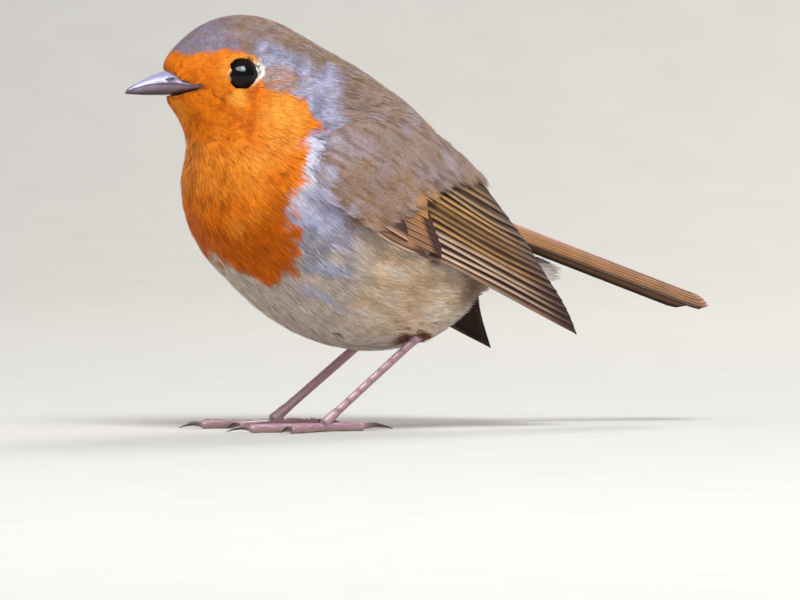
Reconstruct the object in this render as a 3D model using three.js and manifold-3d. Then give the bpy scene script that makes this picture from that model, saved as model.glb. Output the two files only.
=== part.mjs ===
// A life-size European robin, standing on the floor with its weight forward and its bill level.
// Millimetres. +Z is up, -X is towards the bill and +Y is the bird's right side.
// The origin is on the floor, under the middle of the bird's box. The dimensions below are taken from a point
// on the bird's own middle plane instead, and each finished piece is moved from there to the origin.
// The soft body is one blended form, cut into head, neck, trunk and rump. The bill, eyes, wings, tail, legs,
// toes and claws are pieces of their own, and the body is cut back to clear them.

import * as THREE from "three";
import { mergeVertices } from "three/addons/utils/BufferGeometryUtils.js";
import Module from "manifold-3d";

const wasm = await Module();
wasm.setup();

const GAP = 0.3; // clearance between two nodes that meet
const FEATHER_ROOM = 0.5; // clearance between the flesh and the wings or tail
const DEG = Math.PI / 180;
const vec = (x, y, z) => new THREE.Vector3(x, y, z);
const mix = THREE.MathUtils.lerp;

// ---------------------------------------------------------------- driving dimensions

const BOX_MIDDLE = vec(-1.2, 1.2, 0); // what becomes the origin

const HEAD = {
  centre: vec(-39.4, 0.6, 67.9),
  turn: 9 * DEG, // the head looks a little to the bird's right
};
const EYE = { radius: 3.35, ahead: 0.5, side: 6.6, up: 0.4 };
const BILL = { root: 6.8, tip: 21.6, level: -3.0, depth: 4.7, jaw: 0.8, width: 4.3 };
const LEG = {
  hock: vec(-4.6, 9.6, 17.9), // before the right leg's step ahead
  foot: vec(-25.9, 10.8, 1.45),
  thighTop: vec(-7.5, 9.0, 29.0),
  stepAhead: 1.2, // the right foot stands this far in front of the left
  ball: 1.55, // radius of the ball of the foot
};
// turn is from straight ahead towards the other foot, length from the ball of the foot to the claw's root.
const TOES = {
  inner: { turn: 30 * DEG, length: 10.8, claw: 4.2, thick: 0.74 },
  middle: { turn: 2 * DEG, length: 15.2, claw: 4.8, thick: 0.8 },
  outer: { turn: -34 * DEG, length: 11.6, claw: 4.0, thick: 0.74 },
  hind: { turn: 174 * DEG, length: 8.8, claw: 6.4, thick: 0.86 },
};
const TAIL = {
  root: vec(6.0, 0, 43.6), // the ridge's ends
  tip: vec(58.4, 0, 25.0),
  middle: [1.6, 2.2], // half width of the middle pair of feathers, at the root and the tip
  side: [3.9, 5.7], // half width of the whole closed tail
  drop: [3.4, 3.2], // how far its edges hang under the ridge
};

// The left wing lies between a lower edge, from the wrist along the outermost primary to the tip, and an
// upper edge, from the shoulder along the scapulars and the innermost tertial. The middle line parts the
// primaries from the secondaries.
const WING = {
  lower: [
    vec(-33, -17.6, 47.5),
    vec(-26.6, -20.6, 42.6),
    vec(-18.4, -21.9, 36.0),
    vec(-7.2, -21.6, 31.8),
    vec(5.8, -19.2, 26.8),
    vec(19.2, -15.8, 20.6),
    vec(26.8, -13.6, 17.2),
  ],
  middle: [
    vec(-33, -17.4, 51.0),
    vec(-26.6, -20.2, 50.0),
    vec(-15, -21.6, 44.2),
    vec(-3, -20.4, 38.4),
    vec(9, -17.8, 30.8),
    vec(20.4, -14.7, 22.6),
    vec(27.2, -13.2, 17.9),
  ],
  upper: [
    vec(-29, -15.4, 56.2),
    vec(-21, -16.0, 59.4),
    vec(-8, -12.4, 58.8),
    vec(4.4, -8.0, 51.6),
    vec(13.0, -7.2, 42.0),
    vec(18.9, -8.4, 34.2),
    vec(21.8, -10.4, 28.8),
  ],
  droop: 3.6 * DEG, // the right wing hangs lower,
  spread: 6.5 * DEG, // its tip stands further out
  ahead: 1.8, // and the whole of it is carried further forward
};

const COLOURS = {
  orange: 0xe07a1e,
  brown: 0x94775c,
  belly: 0xcfc3b4,
  flight: 0x6b4f3c,
  tail: 0x96704f,
  bill: 0x4a4248,
  eye: 0x0c0809,
  leg: 0x9a7478,
  claw: 0x2e2a2e,
};

// ---------------------------------------------------------------- solids and skins

const coloured = (colour, roughness = 0.8) =>
  new THREE.MeshStandardMaterial({ color: colour, roughness, metalness: 0 });

/** A named mesh of one finished geometry, moved to the part's origin. */
function node(name, geometry, material) {
  const mesh = new THREE.Mesh(geometry.translate(-BOX_MIDDLE.x, -BOX_MIDDLE.y, 0), material);
  mesh.name = name;
  return mesh;
}

/** A geometry from points and triangles, turned so that its faces point out. */
function closedSkin(points, triangles) {
  const geometry = new THREE.BufferGeometry();
  geometry.setAttribute("position", new THREE.Float32BufferAttribute(points.flatMap((p) => p.toArray()), 3));
  geometry.setIndex(triangles.flat());
  return toSolid(geometry).volume() > 0 ? geometry : turnedOut(geometry);
}

/** The geometry with every face turned round. */
function turnedOut(geometry) {
  const index = geometry.index.array;
  for (let i = 0; i < index.length; i += 3) {
    [index[i + 1], index[i + 2]] = [index[i + 2], index[i + 1]];
  }
  return geometry;
}

/** The geometry on the other side of the bird. */
function mirrored(geometry) {
  return turnedOut(geometry.clone().applyMatrix4(new THREE.Matrix4().makeScale(1, -1, 1)));
}

/** A closed geometry as a manifold-3d solid. */
function toSolid(geometry) {
  const bare = geometry.clone();
  bare.deleteAttribute("normal");
  bare.deleteAttribute("uv");
  const merged = mergeVertices(bare, 1e-3);
  return new wasm.Manifold(
    new wasm.Mesh({
      numProp: 3,
      vertProperties: new Float32Array(merged.attributes.position.array),
      triVerts: new Uint32Array(merged.index.array),
    }),
  );
}

/** The largest body of a manifold-3d solid as a geometry. */
function toGeometry(solid) {
  const [body] = solid.decompose().sort((a, b) => b.volume() - a.volume());
  const mesh = body.getMesh();
  const points = new Float32Array(mesh.numVert * 3);
  for (let i = 0; i < mesh.numVert; i++) {
    points.set(mesh.vertProperties.subarray(i * mesh.numProp, i * mesh.numProp + 3), i * 3);
  }
  const geometry = new THREE.BufferGeometry();
  geometry.setAttribute("position", new THREE.BufferAttribute(points, 3));
  geometry.setIndex(new THREE.BufferAttribute(new Uint32Array(mesh.triVerts), 1));
  return geometry;
}

/** What is left of a solid after others are cut from it. */
const cutFrom = (solid, tools) => tools.reduce((rest, tool) => rest.subtract(tool), solid);

/** All that lies on the side of a plane that its normal points to, as a big block. */
function halfSpace(point, normal) {
  const size = 300;
  const block = new THREE.BoxGeometry(size, size, size);
  block.translate(0, 0, size / 2);
  block.applyQuaternion(new THREE.Quaternion().setFromUnitVectors(vec(0, 0, 1), normal.clone().normalize()));
  block.translate(point.x, point.y, point.z);
  return toSolid(block);
}

const ABOVE_FLOOR = halfSpace(vec(0, 0, 0), vec(0, 0, 1));

/** Joins rings of equal length into one closed skin, with a fan over each end. */
function loft(rings) {
  const sides = rings[0].length;
  const points = rings.flat();
  const triangles = [];
  for (let i = 0; i + 1 < rings.length; i++) {
    for (let j = 0; j < sides; j++) {
      const a = i * sides + j;
      const b = i * sides + ((j + 1) % sides);
      triangles.push([a, b, b + sides], [a, b + sides, a + sides]);
    }
  }
  for (const ring of [0, rings.length - 1]) {
    const middle = points.length;
    points.push(rings[ring].reduce((sum, p) => sum.add(p), vec(0, 0, 0)).divideScalar(sides));
    for (let j = 0; j < sides; j++) {
      const edge = [ring * sides + j, ring * sides + ((j + 1) % sides)];
      triangles.push(ring === 0 ? [edge[1], edge[0], middle] : [...edge, middle]);
    }
  }
  return closedSkin(points, triangles);
}

/** A tube along a curve, whose half width and half height are sizeAt(t). */
function taperedTube(curve, steps, sides, sizeAt) {
  const rings = [];
  for (let i = 0; i <= steps; i++) {
    const middle = curve.getPointAt(i / steps);
    const ahead = curve.getTangentAt(i / steps);
    const across = vec(0, 0, 1).cross(ahead).normalize();
    const upright = ahead.clone().cross(across);
    const [width, height] = sizeAt(i / steps);
    const ring = [];
    for (let j = 0; j < sides; j++) {
      const turn = (2 * Math.PI * j) / sides;
      const p = middle.clone().addScaledVector(across, width * Math.cos(turn));
      ring.push(p.addScaledVector(upright, height * Math.sin(turn)));
    }
    rings.push(ring);
  }
  return loft(rings);
}

/** A smooth curve through points. */
const curveThrough = (...points) => new THREE.CatmullRomCurve3(points, false, "centripetal");

/** A point of a curve, running straight on past its ends. */
function alongCurve(curve, s) {
  const inside = THREE.MathUtils.clamp(s, 0, 1);
  const beyond = (s - inside) * curve.getLength();
  return curve.getPointAt(inside).addScaledVector(curve.getTangentAt(inside), beyond);
}

/**
 * A thin curved plate between two edge curves. from and to say which stretch of the edges it takes, facing
 * is roughly its outward side, bulge how far its middle stands out, thick its thickness at each end, and
 * grow how much larger than that it is made all round.
 */
function plate(low, high, { from = 0, to = 1, facing, bulge, thick, steps, across, grow = 0 }) {
  const length = (low.getLength() + high.getLength()) / 2;
  const surface = (s, t) =>
    alongCurve(low, s)
      .lerp(alongCurve(high, s), t)
      .addScaledVector(facing, bulge * 4 * t * (1 - t));
  const rings = [];
  for (let i = 0; i <= steps; i++) {
    const s = mix(from - grow / length, to + grow / length, i / steps);
    const width = Math.max(alongCurve(low, s).distanceTo(alongCurve(high, s)), 1);
    const outer = [];
    const inner = [];
    for (let j = 0; j <= across; j++) {
      const t = mix(-grow / width, 1 + grow / width, j / across);
      const e = 0.01;
      const down = surface(s + e, t).sub(surface(s - e, t));
      const out = down.cross(surface(s, t + e).sub(surface(s, t - e))).normalize();
      if (out.dot(facing) < 0) out.negate();
      outer.push(surface(s, t).addScaledVector(out, grow));
      inner.unshift(surface(s, t).addScaledVector(out, -mix(thick[0], thick[1], i / steps) - grow));
    }
    rings.push([...outer, ...inner]);
  }
  return loft(rings);
}

// ---------------------------------------------------------------- the flesh, as one blended form

/** Signed distance, about, to an ellipsoid that is pitched up at the front and then turned. */
function ellipsoid(centre, radii, { pitch = 0, turn = 0, blend = 6 } = {}) {
  const place = new THREE.Matrix4().makeRotationZ(-turn).multiply(new THREE.Matrix4().makeRotationY(pitch));
  const toLocal = place.setPosition(centre).invert();
  const q = vec(0, 0, 0);
  const distance = (p) => {
    q.copy(p).applyMatrix4(toLocal);
    const near = Math.hypot(q.x / radii.x, q.y / radii.y, q.z / radii.z);
    const slope = Math.hypot(q.x / radii.x ** 2, q.y / radii.y ** 2, q.z / radii.z ** 2);
    return slope < 1e-9 ? -radii.z : (near * (near - 1)) / slope;
  };
  return { blend, distance };
}

/** A place from distances ahead, to the bird's left and up from the middle of the head. */
function inHead(ahead, left, up) {
  return vec(-ahead, -left, up).applyAxisAngle(vec(0, 0, 1), -HEAD.turn).add(HEAD.centre);
}

function headForm(radii, place, options) {
  return ellipsoid(inHead(...place), radii, { turn: HEAD.turn, ...options });
}

const FLESH = [
  ellipsoid(vec(-18.2, 0, 40.8), vec(31.0, 20.5, 21.6), { pitch: 31 * DEG }), // trunk
  ellipsoid(vec(-17.5, 0, 32.4), vec(22.5, 17.5, 15.2), { pitch: 16 * DEG }), // belly
  ellipsoid(vec(-33.0, 0, 46.5), vec(15.6, 17.0, 17.0), { pitch: 10 * DEG }), // breast
  ellipsoid(vec(-11.4, 0, 55.2), vec(20.8, 13.5, 9.6), { pitch: 41 * DEG }), // mantle
  ellipsoid(vec(-29.4, 0, 59.2), vec(14.8, 12.0, 14.8), { pitch: 22 * DEG }), // neck
  ellipsoid(vec(5.6, 0, 38.2), vec(14.5, 8.5, 7.0), { pitch: 32 * DEG }), // rump
  ellipsoid(vec(14.5, 0, 31.8), vec(13.5, 5.0, 3.4), { pitch: 16 * DEG, blend: 4 }), // undertail
  headForm(vec(14.2, 8.9, 11.7), [-1.2, 0, 0], { blend: 5 }), // skull
  headForm(vec(7.0, 5.4, 6.0), [7.4, 0, -0.9], { blend: 4 }), // face
  headForm(vec(7.2, 6.4, 6.6), [1.2, 0, -7.8], { pitch: -30 * DEG }), // throat
];

function blended(a, b, reach) {
  const share = Math.max(reach - Math.abs(a - b), 0) / reach;
  return Math.min(a, b) - (share * share * reach) / 4;
}

/** Signed distance, about, to the whole flesh. */
const fleshField = (p) => FLESH.reduce((d, form) => blended(d, form.distance(p), form.blend), 1e3);

function fieldSlope(field, p) {
  const e = 0.05;
  const rise = (step) => field(p.clone().add(step)) - field(p.clone().sub(step));
  return vec(rise(vec(e, 0, 0)), rise(vec(0, e, 0)), rise(vec(0, 0, e))).divideScalar(2 * e);
}

/** The zero surface of a field inside a box, as a closed net with one point for each cell that it crosses. */
function surfaceNet(field, { low, high }, step) {
  const [nx, ny, nz] = high.clone().sub(low).divideScalar(step).ceil().addScalar(1).toArray();
  const place = (i, j, k) => vec(i, j, k).multiplyScalar(step).add(low);
  const key = (i, j, k) => (k * ny + j) * nx + i;
  const values = new Float64Array(nx * ny * nz);
  const cells = [];
  for (let k = 0; k < nz; k++) {
    for (let j = 0; j < ny; j++) {
      for (let i = 0; i < nx; i++) {
        values[key(i, j, k)] = field(place(i, j, k));
        if (i && j && k) cells.push([i - 1, j - 1, k - 1]);
      }
    }
  }
  const axes = [[1, 0, 0], [0, 1, 0], [0, 0, 1]];
  const corners = [0, 1, 2, 3, 4, 5, 6, 7].map((c) => [c & 1, (c >> 1) & 1, c >> 2]);
  const edges = corners.flatMap((a) =>
    axes.filter((_, n) => a[n] === 0).map((axis) => [a, a.map((v, n) => v + axis[n])]),
  );
  const points = [];
  const pointOfCell = new Map();
  for (const [i, j, k] of cells) {
    const crossings = [];
    for (const [a, b] of edges) {
      const from = [i + a[0], j + a[1], k + a[2]];
      const to = [i + b[0], j + b[1], k + b[2]];
      const [va, vb] = [values[key(...from)], values[key(...to)]];
      if (va < 0 !== vb < 0) crossings.push(place(...from).lerp(place(...to), va / (va - vb)));
    }
    if (!crossings.length) continue;
    const p = crossings.reduce((sum, c) => sum.add(c), vec(0, 0, 0)).divideScalar(crossings.length);
    for (let pass = 0; pass < 3; pass++) {
      const slope = fieldSlope(field, p);
      p.addScaledVector(slope, -field(p) / slope.lengthSq());
    }
    pointOfCell.set(key(i, j, k), points.length);
    points.push(p);
  }
  const triangles = [];
  for (const [i, j, k] of cells.filter((cell) => Math.min(...cell) > 0)) {
    const inside = values[key(i, j, k)] < 0;
    axes.forEach(([x, y, z], n) => {
      if (inside === values[key(i + x, j + y, k + z)] < 0) return;
      const [u, v] = [axes[(n + 1) % 3], axes[(n + 2) % 3]];
      const cell = (s, t) => pointOfCell.get(key(...[i, j, k].map((w, m) => w - s * u[m] - t * v[m])));
      const [p, q, r, s] = inside
        ? [cell(1, 1), cell(0, 1), cell(0, 0), cell(1, 0)]
        : [cell(1, 0), cell(0, 0), cell(0, 1), cell(1, 1)];
      const firstIsShort = points[p].distanceTo(points[r]) < points[q].distanceTo(points[s]);
      triangles.push(...(firstIsShort ? [[p, q, r], [p, r, s]] : [[q, r, s], [q, s, p]]));
    });
  }
  return closedSkin(points, triangles);
}

const FLESH_BOX = { low: vec(-62, -32, 6), high: vec(36, 32, 86) };
const FINE_STEP = 3.2; // for the head, neck and rump
const TRUNK_STEP = 4.4;
// The cuts run from the throat to the nape, from the throat's foot to the mantle, and from the rump to the vent.
// The first two face the head, and the last faces the tail.
const HEAD_CUT = { point: vec(-36.5, 0, 61.0), normal: vec(-0.546, 0, 0.837) };
const NECK_CUT = { point: vec(-30.0, 0, 54.5), normal: vec(-0.313, 0, 0.95) };
const RUMP_CUT = { point: vec(3.0, 0, 38.0), normal: vec(0.94, 0, -0.34) };

/** All that lies on one side of a cut, half the gap away from it. */
function beside({ point, normal }, side) {
  const edge = point.clone().addScaledVector(normal, (side * GAP) / 2);
  return halfSpace(edge, normal.clone().multiplyScalar(side));
}

// ---------------------------------------------------------------- head: bill and eyes

/** The closed bill, from under the face to the tip. It is deeper above the gape than below it. */
function bill(grow = 0) {
  const stations = 6;
  const around = 12;
  const rings = [];
  for (let i = 0; i <= stations; i++) {
    const t = i / stations;
    const ahead = mix(BILL.root - grow, BILL.tip + grow, t);
    const width = (BILL.width / 2) * (1 - t ** 1.4) + 0.3 + grow;
    const depth = BILL.depth * (1 - t ** 1.9) + 0.3 + grow;
    const jaw = BILL.jaw * (1 - t ** 2.6) + 0.3 + grow;
    const ring = [];
    for (let j = 0; j < around; j++) {
      const turn = (2 * Math.PI * j) / around;
      const up = Math.sin(turn) * (turn < Math.PI ? depth : jaw);
      ring.push(inHead(ahead, width * Math.cos(turn), BILL.level + up));
    }
    rings.push(ring);
  }
  return loft(rings);
}

function eyeball(left, grow = 0) {
  const middle = inHead(EYE.ahead, left * EYE.side, EYE.up);
  const ball = new THREE.SphereGeometry(EYE.radius + grow, 14, 9).rotateX(Math.PI / 2);
  return ball.translate(middle.x, middle.y, middle.z);
}

// ---------------------------------------------------------------- wings and tail

const OUT_LEFT = vec(0, -0.94, 0.34);
const wingCurve = {
  lower: curveThrough(...WING.lower),
  middle: curveThrough(...WING.middle),
  underMiddle: curveThrough(...WING.middle.map((p) => p.clone().add(vec(-0.25, 0, -0.4)))),
  upper: curveThrough(...WING.upper),
};

const WING_PARTS = {
  coverts: { low: "lower", high: "upper", to: 0.43, bulge: 2.6, thick: [1.6, 2.2], steps: 7, across: 6 },
  secondaries: { low: "middle", high: "upper", from: 0.438, bulge: 1.5, thick: [2, 0.7], steps: 8, across: 4 },
  primaries: {
    low: "lower",
    high: "underMiddle",
    from: 0.438,
    to: 0.985,
    bulge: 0.2,
    thick: [1.8, 0.6],
    steps: 8,
    across: 2,
  },
};

/** One part of the left wing. */
function leftWing(name, grow = 0) {
  const { low, high, ...sizes } = WING_PARTS[name];
  return plate(wingCurve[low], wingCurve[high], { ...sizes, facing: OUT_LEFT, grow });
}

/** The same part of the right wing, turned about its wrist. */
function rightWing(name, grow = 0) {
  const wrist = WING.lower[0];
  return mirrored(leftWing(name, grow))
    .translate(-wrist.x, wrist.y, -wrist.z)
    .rotateY(WING.droop)
    .rotateZ(WING.spread)
    .translate(wrist.x - WING.ahead, -wrist.y, wrist.z);
}

/** A line along the tail, at its half widths and hanging under the ridge by a share of the drop. */
function tailLine(halfWidths, share, side) {
  return new THREE.LineCurve3(
    vec(TAIL.root.x, side * halfWidths[0], TAIL.root.z - share * TAIL.drop[0]),
    vec(TAIL.tip.x, side * halfWidths[1], TAIL.tip.z - share * TAIL.drop[1]),
  );
}

const UP = vec(0, 0, 1);
const TAIL_THICK = [1.0, 0.6];

/** The middle pair of tail feathers, lying on the others. */
function tailMiddle(grow = 0) {
  const [left, right] = [-1, 1].map((side) => tailLine(TAIL.middle, 0, side));
  return plate(left, right, { facing: UP, bulge: 0.5, thick: TAIL_THICK, steps: 4, across: 4, grow });
}

/** The five outer feathers of one side of the closed tail, sloping down like half a roof. */
function tailSide(side, grow = 0) {
  const inner = tailLine(TAIL.middle.map((w) => w + GAP / 2), 0.22, side);
  const outer = tailLine(TAIL.side, 1, side);
  return plate(inner, outer, { facing: UP, bulge: 0.35, thick: TAIL_THICK, steps: 4, across: 3, grow });
}

// ---------------------------------------------------------------- legs

/** Builds one leg's thigh, tarsus, toes and claws. inward is +1 where the other foot lies towards +Y. */
function buildLeg(side, inward) {
  const step = vec(side === "right" ? -LEG.stepAhead : 0, 0, 0);
  const place = (p) => vec(p.x, -inward * p.y, p.z).add(step);
  const [hock, foot, thighTop] = [LEG.hock, LEG.foot, LEG.thighTop].map(place);

  const shank = (grow) =>
    taperedTube(new THREE.LineCurve3(hock, foot), 8, 8, (t) => {
      const ends = 0.5 * Math.exp(-((t / 0.1) ** 2)) + 0.4 * Math.exp(-(((1 - t) / 0.1) ** 2));
      return [0.68 + 0.8 * ends + grow, 0.9 + 0.7 * ends + grow];
    });
  const ball = (grow) => new THREE.SphereGeometry(LEG.ball + grow, 10, 6).translate(foot.x, foot.y, foot.z);
  const tarsus = toSolid(shank(0)).add(toSolid(ball(0))).intersect(ABOVE_FLOOR);
  const tarsusRoom = toSolid(shank(GAP)).add(toSolid(ball(GAP)));

  const thighEnd = hock.clone().add(vec(0.2, 0, -0.2));
  const thighBend = thighTop.clone().lerp(thighEnd, 0.5).add(vec(1.2, 0, 0));
  const thighCurve = curveThrough(thighTop, thighBend, thighEnd);
  const thigh = (grow) =>
    toSolid(taperedTube(thighCurve, 5, 12, (t) => [mix(4.6, 1.5, t) + grow, mix(5.6, 1.7, t) + grow]));

  // a place at a distance from the ball of the foot along a toe, at a height over the floor
  const reachAlong = (turn) => (distance, height) =>
    vec(foot.x - distance * Math.cos(turn), foot.y + inward * distance * Math.sin(turn), height);
  const toeTube = ({ turn, length, thick }, grow) => {
    const reach = reachAlong(turn);
    const curve = new THREE.LineCurve3(reach(0.4, thick + 0.2), reach(length, thick * 0.86));
    const pads = turn > 90 * DEG ? 2 : 3;
    return taperedTube(curve, 3 * pads, 6, (t) => {
      const knuckle = 1 + 0.1 * Math.cos(2 * Math.PI * pads * t);
      return [thick * mix(1, 0.78, t) * knuckle + grow, thick * knuckle + grow];
    });
  };
  const clawHorn = ({ turn, length, claw }) => {
    const reach = reachAlong(turn);
    const start = length + GAP;
    const curve = curveThrough(
      reach(start, 0.78),
      reach(start + claw * 0.4, 1.02),
      reach(start + claw * 0.78, 0.74),
      reach(start + claw, 0.3),
    );
    return taperedTube(curve, 4, 6, (t) => [mix(0.44, 0.26, t), mix(0.62, 0.26, t)]);
  };

  const pieces = [
    node(`thigh_${side}`, toGeometry(thigh(0).subtract(tarsusRoom)), coloured(COLOURS.belly)),
    node(`tarsus_${side}`, toGeometry(tarsus), coloured(COLOURS.leg, 0.5)),
  ];
  const middleRoom = toSolid(toeTube(TOES.middle, GAP));
  for (const [name, toe] of Object.entries(TOES)) {
    const room = name === "middle" || name === "hind" ? [tarsusRoom] : [tarsusRoom, middleRoom];
    const solid = cutFrom(toSolid(toeTube(toe, 0)), room).intersect(ABOVE_FLOOR);
    pieces.push(node(`toe_${side}_${name}`, toGeometry(solid), coloured(COLOURS.leg, 0.5)));
    pieces.push(node(`claw_${side}_${name}`, clawHorn(toe), coloured(COLOURS.claw, 0.35)));
  }
  return { pieces, room: [thigh(GAP), tarsusRoom] };
}

// ---------------------------------------------------------------- the whole bird

const robin = new THREE.Group();

const legs = [buildLeg("left", 1), buildLeg("right", -1)];
const wings = Object.keys(WING_PARTS).flatMap((name) => [
  [`wing_left_${name}`, (grow) => leftWing(name, grow)],
  [`wing_right_${name}`, (grow) => rightWing(name, grow)],
]);
const tail = [
  ["tail_middle", tailMiddle],
  ["tail_left", (grow) => tailSide(-1, grow)],
  ["tail_right", (grow) => tailSide(1, grow)],
];
const room = [
  ...[...wings, ...tail].map(([, make]) => toSolid(make(FEATHER_ROOM))),
  ...legs.flatMap((leg) => leg.room),
];

const flesh = toSolid(surfaceNet(fleshField, FLESH_BOX, FINE_STEP));
const coarseFlesh = toSolid(surfaceNet(fleshField, FLESH_BOX, TRUNK_STEP));
const sockets = [eyeball(1, GAP), eyeball(-1, GAP), bill(GAP)].map(toSolid);
const gape = { point: inHead(0, 0, BILL.level), normal: UP };
const head = cutFrom(flesh.intersect(beside(HEAD_CUT, 1)), sockets);
const neck = cutFrom(flesh.intersect(beside(HEAD_CUT, -1)).intersect(beside(NECK_CUT, 1)), room);
const trunk = cutFrom(coarseFlesh.intersect(beside(NECK_CUT, -1)).intersect(beside(RUMP_CUT, -1)), room);
const rump = cutFrom(flesh.intersect(beside(RUMP_CUT, 1)), room);

robin.add(node("head", toGeometry(head), coloured(COLOURS.orange)));
robin.add(node("neck", toGeometry(neck), coloured(COLOURS.orange)));
robin.add(node("trunk", toGeometry(trunk), coloured(COLOURS.belly)));
robin.add(node("rump", toGeometry(rump), coloured(COLOURS.brown)));
for (const [name, side] of [["bill_upper", 1], ["bill_lower", -1]]) {
  const half = toSolid(bill()).intersect(beside(gape, side));
  robin.add(node(name, toGeometry(half), coloured(COLOURS.bill, 0.4)));
}
robin.add(node("eye_left", eyeball(1), coloured(COLOURS.eye, 0.05)));
robin.add(node("eye_right", eyeball(-1), coloured(COLOURS.eye, 0.05)));
for (const [name, make] of wings) {
  robin.add(node(name, make(0), coloured(name.endsWith("coverts") ? COLOURS.brown : COLOURS.flight)));
}
for (const [name, make] of tail) {
  robin.add(node(name, make(0), coloured(COLOURS.tail)));
}
for (const leg of legs) {
  robin.add(...leg.pieces);
}

export default robin;
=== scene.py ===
"""A life-size European robin standing on a pale floor, feathered in mesh over one skin.

Sizes are in millimetres in the bird's own frame, whose middle plane is y = 0. Finished meshes are moved to
the frame's origin and turned to metres. -X is towards the bill, -Y is the bird's left and +Z is up.
"""

import logging
import math
from collections.abc import Callable
from dataclasses import dataclass, field
from enum import Enum
from functools import cached_property

import bpy
import numpy as np
from mathutils import Matrix, Vector


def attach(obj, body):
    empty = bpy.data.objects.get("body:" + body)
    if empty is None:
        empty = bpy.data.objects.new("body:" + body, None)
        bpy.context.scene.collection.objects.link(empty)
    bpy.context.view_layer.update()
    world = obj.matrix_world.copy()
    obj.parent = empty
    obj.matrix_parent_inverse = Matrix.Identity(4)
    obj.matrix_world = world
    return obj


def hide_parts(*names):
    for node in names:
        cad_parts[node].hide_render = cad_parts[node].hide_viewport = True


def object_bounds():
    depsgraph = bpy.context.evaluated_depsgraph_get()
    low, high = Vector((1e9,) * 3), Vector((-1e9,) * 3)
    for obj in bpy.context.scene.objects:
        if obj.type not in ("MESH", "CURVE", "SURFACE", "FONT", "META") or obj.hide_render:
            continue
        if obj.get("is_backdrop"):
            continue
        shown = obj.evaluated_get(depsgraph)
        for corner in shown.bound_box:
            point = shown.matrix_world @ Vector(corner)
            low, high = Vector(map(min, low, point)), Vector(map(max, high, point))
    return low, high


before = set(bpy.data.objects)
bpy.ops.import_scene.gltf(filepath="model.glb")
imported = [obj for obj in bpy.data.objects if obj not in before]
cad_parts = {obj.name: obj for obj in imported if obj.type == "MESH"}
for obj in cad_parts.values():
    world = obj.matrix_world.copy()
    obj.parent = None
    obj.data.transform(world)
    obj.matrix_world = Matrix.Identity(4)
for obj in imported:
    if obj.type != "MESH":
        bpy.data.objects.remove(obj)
CAD_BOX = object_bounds()

Array = np.ndarray
Piece = bpy.types.Object
Material = bpy.types.Material
Socket = bpy.types.NodeSocket
log = logging.getLogger("robin")

MM = 0.001
BOX_MIDDLE = np.array([-1.2, 1.2, 0.0])  # the frame's origin, in the bird's own millimetres
SEED = 7
UP = np.array([0.0, 0.0, 1.0])
MIRROR = (1, -1, 1)
FAR = 1e3  # farther than any place on the bird, in millimetres
GOLDEN = 0.618  # steps of this size, taken round from 0 to 1, keep clear of each other
PATCH = 0.003  # the side of a feather's own patch on the skin's unwrap


class Side(Enum):
    """A side of the bird, by the sign of its Y."""

    LEFT = -1
    RIGHT = 1


# ---- numbers


def mix(a: Array, b: Array, share: Array) -> Array:
    """Goes from a to b by a share."""
    return a + (b - a) * share


def smooth(low: float, high: float, value: Array) -> Array:
    """Rises smoothly from 0 at low to 1 at high."""
    share = np.clip((value - low) / (high - low), 0.0, 1.0)
    return share * share * (3.0 - 2.0 * share)


def unit(vectors: Array) -> Array:
    """Scales vectors to length 1 along the last axis."""
    return vectors / np.maximum(np.linalg.norm(vectors, axis=-1, keepdims=True), 1e-9)


def mixed(base: Array, tint: Array, mask: Array) -> Array:
    """Lays a tint over one colour or many by a mask, and gives a colour for each value of the mask."""
    return base + (np.asarray(tint) - base) * mask[..., None]


def paint(red: int, green: int, blue: int) -> Array:
    """A linear colour from a screen colour of 0 to 255."""
    screen = np.array([red, green, blue]) / 255.0
    return np.where(screen <= 0.04045, screen / 12.92, ((screen + 0.055) / 1.055) ** 2.4)


class Ripple:
    """Smooth seeded noise about -1 to 1, as a sum of waves in many directions."""

    def __init__(self, seed: int, size: float, waves: int = 14) -> None:
        """Draws the waves.

        Args:
            seed: Fixes the pattern.
            size: The usual size of a patch, in millimetres.
            waves: How many waves are added.
        """
        rng = np.random.default_rng(seed)
        spread = rng.uniform(0.6, 1.6, (waves, 1)) * math.pi / size
        self.directions = unit(rng.normal(size=(waves, 3))) * spread
        self.phases = rng.uniform(0, 2 * math.pi, waves)

    def __call__(self, points: Array) -> Array:
        """The noise at points.

        Args:
            points: Places, with coordinates on the last axis.

        Returns:
            One value for each place.
        """
        return np.sin(points @ self.directions.T + self.phases).sum(axis=-1) / math.sqrt(len(self.phases))


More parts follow.
